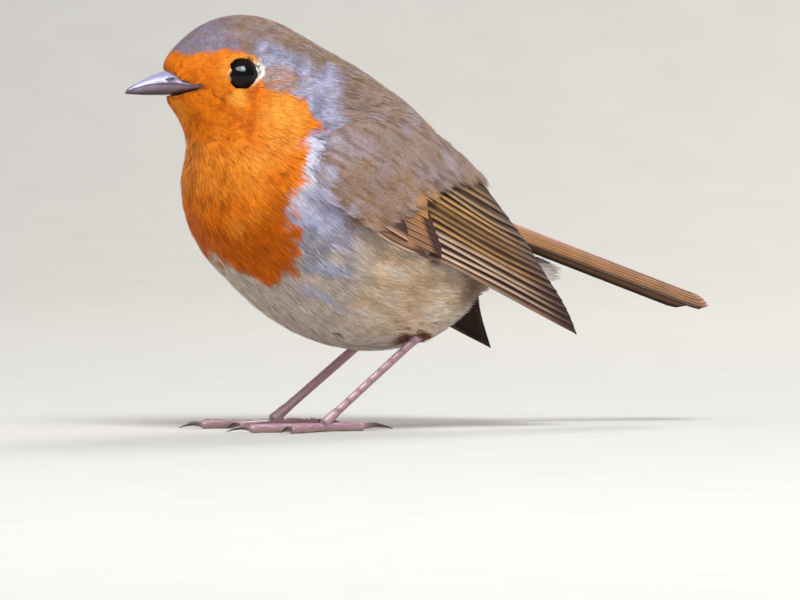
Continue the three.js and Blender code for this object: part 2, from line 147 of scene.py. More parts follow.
class Curve:
    """A smooth centripetal curve through points, read by its share of length."""

    def __init__(self, points: list[tuple[float, float, float]], samples: int = 60) -> None:
        """Samples the curve.

        Args:
            points: The points it passes through.
            samples: How many samples each stretch between two points has.
        """
        p = np.asarray(points, float)
        p = np.vstack([2 * p[0] - p[1], p, 2 * p[-1] - p[-2]])
        out = []
        for a, b, c, d in zip(p, p[1:], p[2:], p[3:]):
            out.append(self._stretch(a, b, c, d, samples))
        self.dense = np.vstack([*out, p[-2:-1]])
        steps = np.linalg.norm(np.diff(self.dense, axis=0), axis=1)
        self.length = steps.sum()
        self.share = np.concatenate([[0.0], np.cumsum(steps)]) / self.length

    @staticmethod
    def _stretch(a: Array, b: Array, c: Array, d: Array, samples: int) -> Array:
        """One stretch of the curve, from b up to but without c."""
        knots = np.cumsum([0.0] + [np.linalg.norm(q - p) ** 0.5 for p, q in ((a, b), (b, c), (c, d))])
        t = np.linspace(knots[1], knots[2], samples, endpoint=False)[:, None]

        def between(p: Array, q: Array, low: float, high: float) -> Array:
            return p + (q - p) * (t - low) / (high - low)

        first = between(a, b, knots[0], knots[1])
        second = between(b, c, knots[1], knots[2])
        third = between(c, d, knots[2], knots[3])
        low = between(first, second, knots[0], knots[2])
        high = between(second, third, knots[1], knots[3])
        return between(low, high, knots[1], knots[2])

    def at(self, share: Array) -> Array:
        """Points at shares of the length, running straight on past both ends.

        Args:
            share: Shares of the whole length.

        Returns:
            One point for each share.
        """
        share = np.asarray(share, float)
        inside = np.clip(share, 0.0, 1.0)
        point = np.stack([np.interp(inside, self.share, self.dense[:, i]) for i in range(3)], axis=-1)
        first, last = self.dense[1] - self.dense[0], self.dense[-1] - self.dense[-2]
        ahead = np.where((share > 0.5)[..., None], last, first)
        return point + unit(ahead) * ((share - inside) * self.length)[..., None]


# ---- driving dimensions


@dataclass(frozen=True)
class HeadFrame:
    """The head's own axes: ahead towards the bill, left towards the bird's left, and up."""

    centre: tuple[float, float, float] = (-39.4, 0.6, 67.9)
    turn: float = math.radians(9.0)

    @cached_property
    def axes(self) -> Array:
        """Rows that point ahead, left and up."""
        c, s = math.cos(self.turn), math.sin(self.turn)
        return np.array([[-c, s, 0.0], [-s, -c, 0.0], [0.0, 0.0, 1.0]])

    def out(self, places: Array) -> Array:
        """Points of the bird from places in the head."""
        return np.asarray(places, float) @ self.axes + np.array(self.centre)

    def into(self, points: Array) -> Array:
        """Places in the head from points of the bird."""
        return (np.asarray(points, float) - np.array(self.centre)) @ self.axes.T


HEAD = HeadFrame()


@dataclass(frozen=True)
class Ellipsoid:
    """A soft form of the flesh, pitched up at the front and turned like the head."""

    centre: tuple[float, float, float]
    radii: tuple[float, float, float]
    pitch: float = 0.0
    turn: float = 0.0
    blend: float = 6.0

    def distance(self, points: Array) -> Array:
        """About how far points lie outside the form.

        Args:
            points: Places in the bird's millimetres.

        Returns:
            One distance for each place, below 0 inside.
        """
        cp, sp = math.cos(math.radians(self.pitch)), math.sin(math.radians(self.pitch))
        ct, st = math.cos(-self.turn), math.sin(-self.turn)
        pitched = np.array([[cp, 0.0, sp], [0.0, 1.0, 0.0], [-sp, 0.0, cp]])
        turned = np.array([[ct, -st, 0.0], [st, ct, 0.0], [0.0, 0.0, 1.0]])
        local = (points - np.array(self.centre)) @ (turned @ pitched)
        radii = np.array(self.radii)
        near = np.linalg.norm(local / radii, axis=-1)
        slope = np.linalg.norm(local / radii**2, axis=-1)
        return near * (near - 1.0) / np.maximum(slope, 1e-6)


def in_head(radii: tuple, place: tuple, pitch: float = 0.0, blend: float = 6.0) -> Ellipsoid:
    """An ellipsoid placed and turned with the head."""
    return Ellipsoid(tuple(HEAD.out(place)), radii, pitch, HEAD.turn, blend)


FLESH = (
    Ellipsoid((-18.2, 0, 40.8), (31.0, 20.5, 21.6), 31),  # trunk
    Ellipsoid((-17.5, 0, 32.4), (22.5, 17.5, 15.2), 16),  # belly
    Ellipsoid((-33.0, 0, 46.5), (15.6, 17.0, 17.0), 10),  # breast
    Ellipsoid((-11.4, 0, 55.2), (20.8, 13.5, 9.6), 41),  # mantle
    Ellipsoid((-29.4, 0, 59.2), (14.8, 12.0, 14.8), 22),  # neck
    Ellipsoid((5.6, 0, 38.2), (14.5, 8.5, 7.0), 32),  # rump
    Ellipsoid((14.5, 0, 31.8), (13.5, 5.0, 3.4), 16, blend=4),  # undertail
    in_head((14.2, 8.9, 11.7), (-1.2, 0, 0), blend=5),  # skull
    in_head((7.0, 5.4, 6.0), (7.4, 0, -0.9), blend=4),  # face
    in_head((7.2, 6.4, 6.6), (1.2, 0, -7.8), -30),  # throat
)


@dataclass(frozen=True)
class LegSizes:
    """Where a leg stands, for the left side; the right foot stands a step ahead."""

    hock: tuple[float, float, float] = (-4.6, -9.6, 17.9)
    foot: tuple[float, float, float] = (-25.9, -10.8, 1.45)
    thigh_top: tuple[float, float, float] = (-7.5, -9.0, 29.0)
    step_ahead: float = 1.2

    def placed(self, point: tuple, side: Side) -> Array:
        """A point of the left leg on either side."""
        x, y, z = point
        ahead = self.step_ahead if side is Side.RIGHT else 0.0
        return np.array([x - ahead, -side.value * y, z])


LEG = LegSizes()


@dataclass(frozen=True)
class WingSizes:
    """The edges of the left wing, from its wrist back to its tip."""

    lower: tuple = (
        (-33, -17.6, 47.5),
        (-26.6, -20.6, 42.6),
        (-18.4, -21.9, 36.0),
        (-7.2, -21.6, 31.8),
        (5.8, -19.2, 26.8),
        (19.2, -15.8, 20.6),
        (26.8, -13.6, 17.2),
    )
    upper: tuple = (
        (-29, -15.4, 56.2),
        (-21, -16.0, 59.4),
        (-8, -12.4, 58.8),
        (4.4, -8.0, 51.6),
        (13.0, -7.2, 42.0),
        (18.9, -8.4, 34.2),
        (21.8, -10.4, 28.8),
    )
    tip: tuple = (27.4, -13.3, 17.6)
    bulge: float = 2.6  # how far the middle of the covert region stands out
    tip_bulge: float = 1.4
    covert_edge: float = 0.43  # share of the wing at which the long feathers come out of the coverts
    droop: float = math.radians(3.6)
    spread: float = math.radians(6.5)
    ahead: float = 1.8


WING = WingSizes()
OUT_LEFT = np.array([0.0, -0.94, 0.34])


class WingForm:
    """The folded wing as a surface: s runs from the wrist to the tip, t from the lower to the upper edge."""

    def __init__(self, side: Side) -> None:
        """Builds the edge curves of one wing."""
        self.side = side
        self.lower = Curve(WING.lower)
        self.upper = Curve(WING.upper)
        start = self.upper.at(WING.covert_edge)
        self.rear = Curve([tuple(start), *WING.upper[4:], WING.tip])
        s, t = np.meshgrid(np.linspace(0, 1, 70), np.linspace(0, 1, 36), indexing="ij")
        self.net = np.stack([s.ravel(), t.ravel()], -1)
        self.seen = self.surface(*self.net.T)[:, [0, 2]]
        cd, sd = math.cos(WING.droop), math.sin(WING.droop)
        cs, ss = math.cos(WING.spread), math.sin(WING.spread)
        droop = np.array([[cd, 0.0, sd], [0.0, 1.0, 0.0], [-sd, 0.0, cd]])
        self.turn = np.array([[cs, -ss, 0.0], [ss, cs, 0.0], [0.0, 0.0, 1.0]]) @ droop
        self.wrist = np.array(WING.lower[0]) * MIRROR

    def surface(self, s: Array, t: Array) -> Array:
        """Points of the left wing's outside."""
        s, t = np.broadcast_arrays(np.asarray(s, float), np.asarray(t, float))
        bulge = mix(WING.bulge, WING.tip_bulge, smooth(0.35, 0.5, s))
        chord = mix(self.lower.at(s), self.upper.at(s), t[..., None])
        return chord + OUT_LEFT * (bulge * 4 * t * (1 - t))[..., None]

    def normal(self, s: Array, t: Array) -> Array:
        """Outward directions of the left wing."""
        e = 0.01
        along = self.surface(s + e, t) - self.surface(s - e, t)
        over = self.surface(s, t + e) - self.surface(s, t - e)
        out = unit(np.cross(over, along))
        return out * np.sign(out @ OUT_LEFT)[..., None]

    def find(self, x: Array, z: Array) -> tuple[Array, Array]:
        """The place on the wing that a side view shows at x and z.

        Args:
            x: Distances along the bird.
            z: Heights.

        Returns:
            The shares s and t, kept to the wing.
        """
        shape = np.shape(x)
        want = np.stack([np.ravel(x), np.ravel(z)], -1)
        gap = ((want[:, None, :] - self.seen) ** 2).sum(-1)
        s, t = self.net[gap.argmin(1)].T
        e = 0.004
        for _ in range(3):
            here = self.surface(s, t)[:, [0, 2]]
            by_s = (self.surface(s + e, t)[:, [0, 2]] - here) / e
            by_t = (self.surface(s, t + e)[:, [0, 2]] - here) / e
            off = want - here
            det = by_s[:, 0] * by_t[:, 1] - by_s[:, 1] * by_t[:, 0]
            det = np.where(np.abs(det) < 20.0, 20.0 * np.sign(det), det)
            ds = (off[:, 0] * by_t[:, 1] - off[:, 1] * by_t[:, 0]) / det
            dt = (by_s[:, 0] * off[:, 1] - by_s[:, 1] * off[:, 0]) / det
            s = np.clip(s + np.clip(ds, -0.05, 0.05), 0.0, 1.0)
            t = np.clip(t + np.clip(dt, -0.05, 0.05), 0.0, 1.0)
        return s.reshape(shape), t.reshape(shape)

    def covers(self, points: Array) -> Array:
        """Whether the wing hides points of the body.

        Args:
            points: Points on the skin.

        Returns:
            True for each point that lies under the feathers of the wing.
        """
        here = self.unplaced(points)
        near = (here[:, 1] < -6.0) & (here[:, 0] > -24.0)
        out = np.zeros(len(points), bool)
        s, t = self.find(here[near, 0], here[near, 2])
        gap = self.surface(s, t) - here[near]
        level = np.linalg.norm(gap[:, [0, 2]], axis=1) < 0.4
        hard = (s > 0.2) & (t < 0.6) & (t > 0.14) | (s > 0.46) & (t < 0.93) & (t > 0.1)
        out[near] = level & hard & (np.abs(gap[:, 1]) < 5.0)
        return out

    def unplaced(self, points: Array) -> Array:
        """Moves points of this wing to the left wing, the other way than placed."""
        if self.side is Side.LEFT:
            return points
        from_wrist = points - self.wrist + (WING.ahead, 0, 0)
        return (from_wrist @ self.turn + self.wrist) * MIRROR

    def placed(self, points: Array) -> Array:
        """Moves points of the left wing to this wing's side.

        Args:
            points: Points in the bird's millimetres, on the left wing.

        Returns:
            The same points, or their places on the drooped right wing.
        """
        if self.side is Side.LEFT:
            return points
        from_wrist = (points * MIRROR - self.wrist) @ self.turn.T
        return from_wrist - (WING.ahead, 0, 0) + self.wrist

    def turned(self, directions: Array) -> Array:
        """Turns directions of the left wing to this wing's side."""
        return self.placed(directions) - self.placed(np.zeros(3))


# ---- the body as one field


class Field:
    """The body's distance field on a grid, read between its nodes. Level 0 is the tips of the feathers."""

    low = np.array([-64.0, -34.0, 4.0])
    high = np.array([38.0, 34.0, 88.0])
    step = 0.75

    def __init__(self, wings: list[WingForm]) -> None:
        """Fills the grid from the flesh, the thighs and the shoulders of the folded wings."""
        self.size = np.ceil((self.high - self.low) / self.step).astype(int) + 1
        grid = np.stack(np.meshgrid(*[np.arange(n) for n in self.size], indexing="ij"), -1)
        points = (grid * self.step + self.low).reshape(-1, 3)
        values = np.full(len(points), FAR)
        for form in FLESH:
            values = self.blended(values, form.distance(points), form.blend)
        for side in Side:
            values = self.blended(values, self._thigh(points, side), 3.0)
        for wing in wings:
            self._add_shoulder(points, values, wing)
        values = values + 2.6 * smooth(19.0, 27.0, points[:, 0]) * smooth(40.0, 36.0, points[:, 2])
        self.values = values.reshape(self.size)
        self.slopes = np.stack(np.gradient(self.values, self.step), -1)

    @staticmethod
    def blended(a: Array, b: Array, reach: float) -> Array:
        """The smaller of two distances, rounded where they meet."""
        share = np.maximum(reach - np.abs(a - b), 0.0) / reach
        return np.minimum(a, b) - share * share * reach / 4

    @staticmethod
    def _thigh(points: Array, side: Side) -> Array:
        """Distance to the feathered thigh, a cone from the belly to just over the hock."""
        top, end = LEG.placed(LEG.thigh_top, side), LEG.placed(LEG.hock, side) + (0.3, 0, 0.9)
        axis = end - top
        share = np.clip((points - top) @ axis / (axis @ axis), 0.0, 1.0)
        centre = top + share[:, None] * axis
        return np.linalg.norm(points - centre, axis=1) - mix(5.6, 1.5, share**0.8)

    def _add_shoulder(self, points: Array, values: Array, wing: WingForm) -> None:
        """Adds the covert region of a folded wing, as a row of balls under its outside."""
        radius = 2.4
        s, t = np.meshgrid(np.linspace(0.04, WING.covert_edge - 0.02, 13), np.linspace(0.1, 0.97, 11))
        balls = wing.placed(wing.surface(s, t) - wing.normal(s, t) * (radius + 0.3)).reshape(-1, 3)
        near = np.all((points > balls.min(0) - 7) & (points < balls.max(0) + 7), axis=1)
        near_points = points[near]
        best = np.full(len(near_points), FAR)
        for ball in balls:
            best = np.minimum(best, ((near_points - ball) ** 2).sum(1))
        values[near] = self.blended(values[near], np.sqrt(best) - radius, 3.0)

    def read(self, points: Array) -> tuple[Array, Array]:
        """Distances and slopes at points.

        Args:
            points: Places in the bird's millimetres.

        Returns:
            The distance and its gradient at each place.
        """
        shape = points.shape[:-1]
        local = (points.reshape(-1, 3) - self.low) / self.step
        local = np.clip(local, 0, self.size - 1.001)
        cell = local.astype(int)
        share = local - cell
        value = np.zeros(len(cell))
        slope = np.zeros((len(cell), 3))
        for corner in np.ndindex(2, 2, 2):
            weight = np.prod(np.where(corner, share, 1 - share), axis=1)
            i, j, k = (cell + corner).T
            value += weight * self.values[i, j, k]
            slope += weight[:, None] * self.slopes[i, j, k]
        return value.reshape(shape), slope.reshape(*shape, 3)

    def settled(self, points: Array, level: Array, passes: int = 3) -> Array:
        """Moves points to a level of the field.

        Args:
            points: Places near the surface.
            level: The distance from the outline that each should have.
            passes: How many steps are taken.

        Returns:
            The moved points.
        """
        for _ in range(passes):
            value, slope = self.read(points)
            pull = (value - level) / np.maximum((slope**2).sum(-1), 0.05)
            points = points - slope * pull[..., None]
        return points


# ---- meshes


class Gather:
    """Points, faces and what is painted on them, gathered for one piece."""

    def __init__(self) -> None:
        """Starts empty."""
        self.points: list[Array] = []
        self.faces: list[Array] = []
        self.colours: list[Array] = []
        self.vanes: list[Array] = []
        self.patches: list[Array] = []
        self.normals: list[Array] = []
        self.count = 0

    def add(
        self,
        points: Array,
        faces: list[Array],
        colours: Array,
        vane: Array,
        patch: Array | None = None,
        normals: Array | None = None,
    ) -> None:
        """Adds one shape, or many at once.

        Args:
            points: Its points, in the bird's millimetres.
            faces: Arrays of triangles or of quads.
            colours: One linear colour for each point, or one for all.
            vane: For each point, its place across and along the feather, each 0 to 1.
            patch: For each point, its place on the skin's unwrap, where the piece is baked.
            normals: For each point, the direction that its shading faces.
        """
        self.points.append(points)
        self.faces.extend(f + self.count for f in faces)
        self.colours.append(np.broadcast_to(colours, points.shape))
        self.vanes.append(np.broadcast_to(vane, (len(points), 2)))
        if patch is not None:
            self.patches.append(patch)
        if normals is not None:
            self.normals.append(normals)
        self.count += len(points)

    def triangles(self) -> int:
        """How many triangles it has so far."""
        return sum(len(f) * (f.shape[1] - 2) for f in self.faces)

    def made(self, name: str, material: Material) -> Piece:
        """Turns the shapes into one mesh object.

        Args:
            name: The piece's name.
            material: Its finish.

        Returns:
            The object, linked to the scene.
        """
        points = (np.vstack(self.points) - BOX_MIDDLE) * MM
        corners = np.concatenate([f.ravel() for f in self.faces]).astype(np.int32)
        totals = np.concatenate([np.full(len(f), f.shape[1]) for f in self.faces])
        starts = np.concatenate([[0], np.cumsum(totals)[:-1]]).astype(np.int32)
        mesh = bpy.data.meshes.new(name)
        mesh.vertices.add(len(points))
        mesh.vertices.foreach_set("co", points.ravel())
        mesh.loops.add(len(corners))
        mesh.loops.foreach_set("vertex_index", corners)
        mesh.polygons.add(len(starts))
        mesh.polygons.foreach_set("loop_start", starts)
        mesh.update(calc_edges=True)
        mesh.polygons.foreach_set("use_smooth", np.ones(len(starts), bool))
        rgba = np.ones((len(points), 4))
        rgba[:, :3] = np.clip(np.vstack(self.colours), 0.0, 1.0)
        layer = mesh.color_attributes.new(name="Plumage", type="FLOAT_COLOR", domain="POINT")
        layer.data.foreach_set("color", rgba.ravel())
        self._map(mesh, "Vane", np.vstack(self.vanes)[corners])
        if self.patches:
            self._map(mesh, "OFBake", np.vstack(self.patches)[corners])
        mesh.materials.append(material)
        if self.normals:
            mesh.normals_split_custom_set_from_vertices(np.vstack(self.normals))
        mesh.update()
        piece = bpy.data.objects.new(name, mesh)
        bpy.context.scene.collection.objects.link(piece)
        log.info("%s: %d triangles", name, self.triangles())
        return piece

    @staticmethod
    def _map(mesh: bpy.types.Mesh, name: str, places: Array) -> None:
        """Adds a UV map with one place for each corner."""
        mesh.uv_layers.new(name=name).uv.foreach_set("vector", places.ravel())


def grid_faces(rows: int, columns: int, wrap: bool = False) -> Array:
    """The quads of a grid of points, row by row.

    Args:
        rows: How many rows of points it has.
        columns: How many points each row has.
        wrap: Whether each row closes on itself.

    Returns:
        The quads, as indices of the points.
    """
    r, c = np.meshgrid(np.arange(rows - 1), np.arange(columns if wrap else columns - 1), indexing="ij")
    nxt = (c + 1) % columns
    quads = [r * columns + c, r * columns + nxt, (r + 1) * columns + nxt, (r + 1) * columns + c]
    return np.stack(quads, -1).reshape(-1, 4)


def tube(rings: Array) -> tuple[Array, list[Array]]:
    """A closed body through rings of points, with a pole at each end.

    Args:
        rings: Rings of points along the body, all with the same number of points.

    Returns:
        Its points and faces, facing outward when each ring runs anticlockwise seen from its far end.
    """
    rows, columns = rings.shape[:2]
    first, last = rows * columns, rows * columns + 1
    points = np.vstack([rings.reshape(-1, 3), rings[0].mean(0), rings[-1].mean(0)])
    i = np.arange(columns)
    j = (i + 1) % columns
    start = np.stack([np.full(columns, first), j, i], -1)
    end = np.stack([np.full(columns, last), i + (rows - 1) * columns, j + (rows - 1) * columns], -1)
    return points, [grid_faces(rows, columns, wrap=True), start, end]


def flipped(faces: list[Array]) -> list[Array]:
    """The same faces, turned inside out."""
    return [f[:, ::-1] for f in faces]


def blade(top: Array, outward: Array, thick: Array) -> tuple[Array, list[Array]]:
    """A thin closed solid under a sheet of points.

    Args:
        top: A grid of points, with the feather's length down the rows and its width along them.
        outward: The direction in which each point of the sheet faces.
        thick: How thick the solid is at each point.

    Returns:
        Its points and its faces, which look outward.
    """
    rows, columns = top.shape[:2]
    under = top - outward * thick[..., None]
    points = np.vstack([top.reshape(-1, 3), under.reshape(-1, 3)])
    upper = grid_faces(rows, columns)
    total = rows * columns
    index = np.arange(total).reshape(rows, columns)
    edge = np.concatenate([index[0, :-1], index[:-1, -1], index[-1, :0:-1], index[:0:-1, 0]])
    after = np.roll(edge, -1)
    rim = np.stack([after, edge, edge + total, after + total], -1)
    faces = [upper, upper[:, ::-1] + total, rim]
    middle = np.cross(top[1, 0] - top[0, 0], top[0, 1] - top[0, 0]) @ outward[0, 0]
    return points, faces if middle < 0 else flipped(faces)


# ---- markings


@dataclass(frozen=True)
class Eye:
    """One size for the ball, the lids and their place in the head."""

    radius: float = 3.35
    ahead: float = 0.5
    beside: float = 6.6
    up: float = 0.3
    half_wide: float = 2.4
    half_high: float = 1.9

    def centre(self, side: Side) -> Array:
        """The middle of the eyeball."""
        return HEAD.out((self.ahead, -side.value * self.beside, self.up))

    def nearest(self, points: Array) -> Array:
        """The way to each point from the eye on its own side."""
        left = points[:, 1:2] < 0
        return points - np.where(left, self.centre(Side.LEFT), self.centre(Side.RIGHT))


EYE = Eye()


class Palette:
    """The colours of the robin's plumage."""

    orange = paint(244, 132, 20)
    # deep orange is the flecks' own colour, and is also painted shade low on the breast and at the throat
    deep_orange = paint(204, 94, 8)
    rust = paint(150, 48, 10)
    # gold is the face's own marks, and is also painted light in the middle of the breast and on the cheek
    gold = paint(255, 178, 70)
    ring = paint(255, 250, 240)
    slate = paint(146, 134, 152)
    lavender = paint(196, 196, 226)
    frost = paint(236, 236, 252)
    dusk = paint(128, 128, 152)
    crown = paint(152, 124, 106)
    olive = paint(146, 121, 94)
    back = paint(156, 132, 118)
    lilac = paint(176, 162, 176)
    warm = paint(176, 138, 98)
    covert = paint(160, 126, 102)
    spot = paint(206, 146, 78)
    dark_covert = paint(118, 86, 66)
    # the belly's off-white, painted a little darker as painted shade on the underside
    belly = paint(212, 196, 182)
    flank_grey = paint(140, 140, 162)
    buff = paint(236, 206, 174)
    dark_buff = paint(116, 78, 44)
    vent = paint(250, 240, 228)
    rump = paint(168, 132, 96)
    tuft = paint(118, 70, 46)


class Markings:
    """Where each colour lies on the body, the same for the skin and for the coat.

    The cap and the grey have lower edges, as heights at places ahead in the head. The bib has a rear edge,
    as places along the bird at heights.
    """

    cap_ahead = (-22.0, -16.5, -14.4, -13.5, -11.6, -11.0, -8.5, -4.5, -3.2, -2.4, -1.5, 2.5, 4.8, 8.0, 13.5)
    cap_up = (-40.0, -14.5, -9.4, -8.4, -7.0, -4.4, -3.4, -1.9, -0.9, 2.5, 4.3, 5.5, 4.6, 4.6, 4.0)
    grey_ahead = (-20.0, -14.3, -10.5, -8.5, -6.5, -2.6, 0.0)
    grey_up = (2.0, 2.6, 3.8, 5.8, 7.2, 7.6, 7.6)
    bib_up = (27.3, 30.2, 36.0, 44.7, 48.5, 56.2, 59.0, 62.0)
    bib_back = (-37.7, -33.7, -34.0, -35.5, -32.9, -32.4, -27.4, -30.5)
    # how far the ring round the eye reaches, and how white it is, by degrees from straight behind the eye
    reach_turns, reaches = (0, 22, 47, 100, 135, 180, 270, 343), (1.55, 1.9, 1.7, 1.5, 1.3, 1.16, 1.2, 1.22)
    white_turns, whites = (0, 22, 47, 80, 120, 180, 270, 330), (1.0, 1.0, 0.95, 0.7, 0.3, 0.2, 0.55, 0.6)

    def __init__(self) -> None:
        """Seeds the ripples that break up the edges."""
        self.broad = Ripple(21, 10.0)
        self.patch = Ripple(22, 5.0)
        self.fleck = Ripple(23, 2.4)
        self.fine = Ripple(24, 1.1)

    def streaks(self, x: Array, y: Array, z: Array) -> Array:
        """Fine noise from stretched coordinates, so that it is drawn out along the feathers."""
        return self.fine(np.stack(np.broadcast_arrays(x, y, z), -1))

    def orange_share(self, p: Array, head: Array) -> Array:
        """How far each point lies in the orange of face and breast.

        Args:
            p: Points of the body.
            head: The same points as places in the head.

        Returns:
            Shares of 0 to 1.
        """
        ragged = 0.9 * self.fleck(p) + 0.5 * self.fine(p)
        above = head[..., 2] - np.interp(head[..., 0], self.cap_ahead, self.cap_up)
        face = smooth(0.7, -0.7, above + 0.45 * ragged)
        behind = p[..., 0] - np.interp(p[..., 2], self.bib_up, self.bib_back)
        bib = smooth(0.9, -0.9, behind + ragged)
        low = 33.0 - 0.06 * p[..., 1] ** 2 - p[..., 2]
        bib = bib * smooth(1.4, -1.4, low + 1.3 * ragged)
        return mix(bib, face, smooth(56.0, 60.0, p[..., 2]))

    def colour(self, p: Array) -> Array:
        """The plumage's colour at points of the body.

        Args:
            p: Points in the bird's millimetres.

        Returns:
            One linear colour for each point.
        """
        head = HEAD.into(p)
        x, side, z = p[..., 0], np.abs(p[..., 1]), p[..., 2]
        broad, patch, fleck, fine = self.broad(p), self.patch(p), self.fleck(p), self.fine(p)
        out = mixed(Palette.back, Palette.lilac, 0.5 * smooth(0.1, 1.1, patch + 0.4 * fleck))
        lines = self.streaks(0.3 * x - 0.4 * z, 0.5 * side, z + 0.9 * x)
        out = mixed(out, Palette.warm, 0.45 * smooth(0.2, 1.2, -patch + 0.5 * broad + 0.4 * lines))
        out = mixed(out, Palette.dark_covert, 0.3 * smooth(0.3, 1.0, lines + 0.3 * patch))
        out = self._head_top(out, head, patch, fleck, z)
        out = self._underside(out, x, side, z, patch, fleck, fine)
        out = self._shoulder(out, head, x, side, z, patch, fleck)
        out = self._breast(out, p, head, patch, fleck, fine)
        return self._face(out, head, fleck, fine)

    def wing_colour(self, p: Array) -> Array:
        """The colour of the soft feathers on the folded wing.

        Args:
            p: Points of the wing.

        Returns:
            One linear colour for each point.
        """
        x, z, patch, fleck = p[..., 0], p[..., 2], self.patch(p), self.fleck(p)
        lines = self.streaks(0.3 * x - 0.3 * z, 0.0, z + 0.7 * x)
        out = mixed(Palette.back, Palette.lilac, 0.4 * smooth(0.1, 1.1, patch))
        out = mixed(out, Palette.covert, 0.7 * smooth(51.0, 45.0, z + 1.5 * patch))
        streaky = smooth(0.0, 1.0, lines - 0.3 * patch) * smooth(-0.8, 0.6, fleck)
        out = mixed(out, Palette.warm, 0.35 * streaky)
        out = mixed(out, Palette.lilac, 0.2 * smooth(0.1, 0.9, -lines))
        out = mixed(out, Palette.dark_covert, 0.5 * smooth(0.3, 1.0, lines + 0.3 * patch))
        spot = np.hypot((x + 8.5) / 3.2, (z - 44.2 - 0.35 * (x + 8.5)) / 1.5)
        out = mixed(out, Palette.spot, 0.5 * smooth(1.2, 0.4, spot + 0.2 * fleck))
        high = 3.4 * smooth(43.0, 49.0, z)
        front = smooth(-23.5, -29.5, x + 1.6 * fleck + lines + high) * smooth(38.0, 42.0, z)
        return mixed(out, Palette.lavender, 0.7 * front)

    def _head_top(self, out: Array, head: Array, patch: Array, fleck: Array, z: Array) -> Array:
        """Lays the crown and the nape over the back."""
        on_head = smooth(60.0, 66.0, z)
        out = mixed(out, Palette.crown, on_head)
        nape = on_head * smooth(-7.0, -12.0, head[..., 0])
        out = mixed(out, Palette.olive, nape * smooth(-0.6, 0.8, patch))
        lines = self.streaks(0.35 * head[..., 0], head[..., 1], head[..., 2])
        out = mixed(out, Palette.lilac, 0.25 * on_head * smooth(0.1, 0.8, lines + 0.5 * patch))
        brow = on_head * smooth(-1.0, 3.5, head[..., 0] - 0.3 * (head[..., 2] - 5.0) + 0.9 * fleck)
        out = mixed(out, Palette.slate, 0.9 * brow)
        return mixed(out, Palette.crown, 0.5 * brow * smooth(0.2, 0.9, lines + 0.4 * fleck))

    def _underside(
        self, out: Array, x: Array, side: Array, z: Array, patch: Array, fleck: Array, fine: Array
    ) -> Array:
        """Lays the belly, the flanks and the rump."""
        out = mixed(out, Palette.rump, smooth(-6.0, 4.0, x) * smooth(30.0, 36.0, z))
        line = 36.5 - 0.28 * (x + 20.0)
        below = smooth(2.5, -2.5, z - line + 1.2 * fleck)
        out = mixed(out, Palette.belly, below)
        flank = below * smooth(8.0, 15.0, side)
        grey = flank * smooth(-16.0, -24.0, x) * smooth(26.0, 32.0, z)
        out = mixed(out, Palette.flank_grey, 0.75 * grey * smooth(-0.7, 0.6, fleck + 0.7 * fine))
        wisps = self.fleck(np.stack([0.35 * x, 0.35 * side, 1.4 * z + 0.6 * x], -1))
        pale = smooth(-8.0, -18.0, x) * smooth(0.2, 0.9, wisps) * smooth(19.0, 26.0, z)
        out = mixed(out, Palette.lavender, 0.7 * flank * pale)
        rear = flank * smooth(-26.0, -14.0, x + 3.0 * patch)
        out = mixed(out, Palette.buff, 0.9 * rear)
        out = mixed(out, Palette.warm, 0.45 * rear * smooth(0.1, 0.9, -wisps))
        out = mixed(out, Palette.ring, 0.35 * rear * smooth(0.4, 1.0, wisps))
        end = below * smooth(-1.0, 5.0, x) * smooth(22.0, 26.0, z) * smooth(35.0, 31.0, z)
        out = mixed(out, Palette.dark_buff, 0.75 * end)
        hock = smooth(19.2, 18.2, z + 0.5 * fleck) * smooth(-12.0, -8.0, x) * smooth(5.0, 7.0, side)
        out = mixed(out, Palette.tuft, hock)
        return mixed(out, Palette.vent, smooth(11.0, 14.0, x) * smooth(37.0, 34.0, z))

    def _shoulder(
        self, out: Array, head: Array, x: Array, side: Array, z: Array, patch: Array, fleck: Array
    ) -> Array:
        """Lays the blue-grey that runs behind the orange, from over the eye to the bend of the wing."""
        above = head[..., 2] - np.interp(head[..., 0], self.grey_ahead, self.grey_up)
        band = smooth(1.2, -1.6, above + 1.1 * patch + 0.5 * fleck) * smooth(-0.8, -3.4, head[..., 0])
        band = band * smooth(-21.0, -17.0, head[..., 0] + 1.5 * patch) * smooth(3.0, 6.5, side)
        behind = x - np.interp(z, self.bib_up, self.bib_back)
        wide = np.interp(z, (36.0, 44.0, 50.0, 56.0, 60.0), (9.5, 8.0, 5.2, 4.6, 7.0))
        neck = smooth(wide + 2.0, wide - 1.6, behind + 1.6 * patch)
        neck = neck * smooth(35.0, 40.0, z) * smooth(9.0, 12.0, side)
        share = mix(neck, 0.9 * band, smooth(55.0, 60.0, z))
        out = mixed(out, Palette.lavender, 0.9 * share)
        lines = self.streaks(0.3 * head[..., 0], 0.5 * side, head[..., 2] + 0.4 * head[..., 0])
        out = mixed(out, Palette.crown, 0.5 * share * smooth(0.2, 0.9, lines + 0.4 * patch))
        out = mixed(out, Palette.dusk, 0.6 * share * smooth(0.1, 1.0, fleck - 0.3 * patch))
        bright = smooth(5.0, 1.5, behind + fleck) * smooth(40.0, 45.0, z) * smooth(58.5, 54.0, z) * neck
        return mixed(out, Palette.frost, 0.75 * bright)

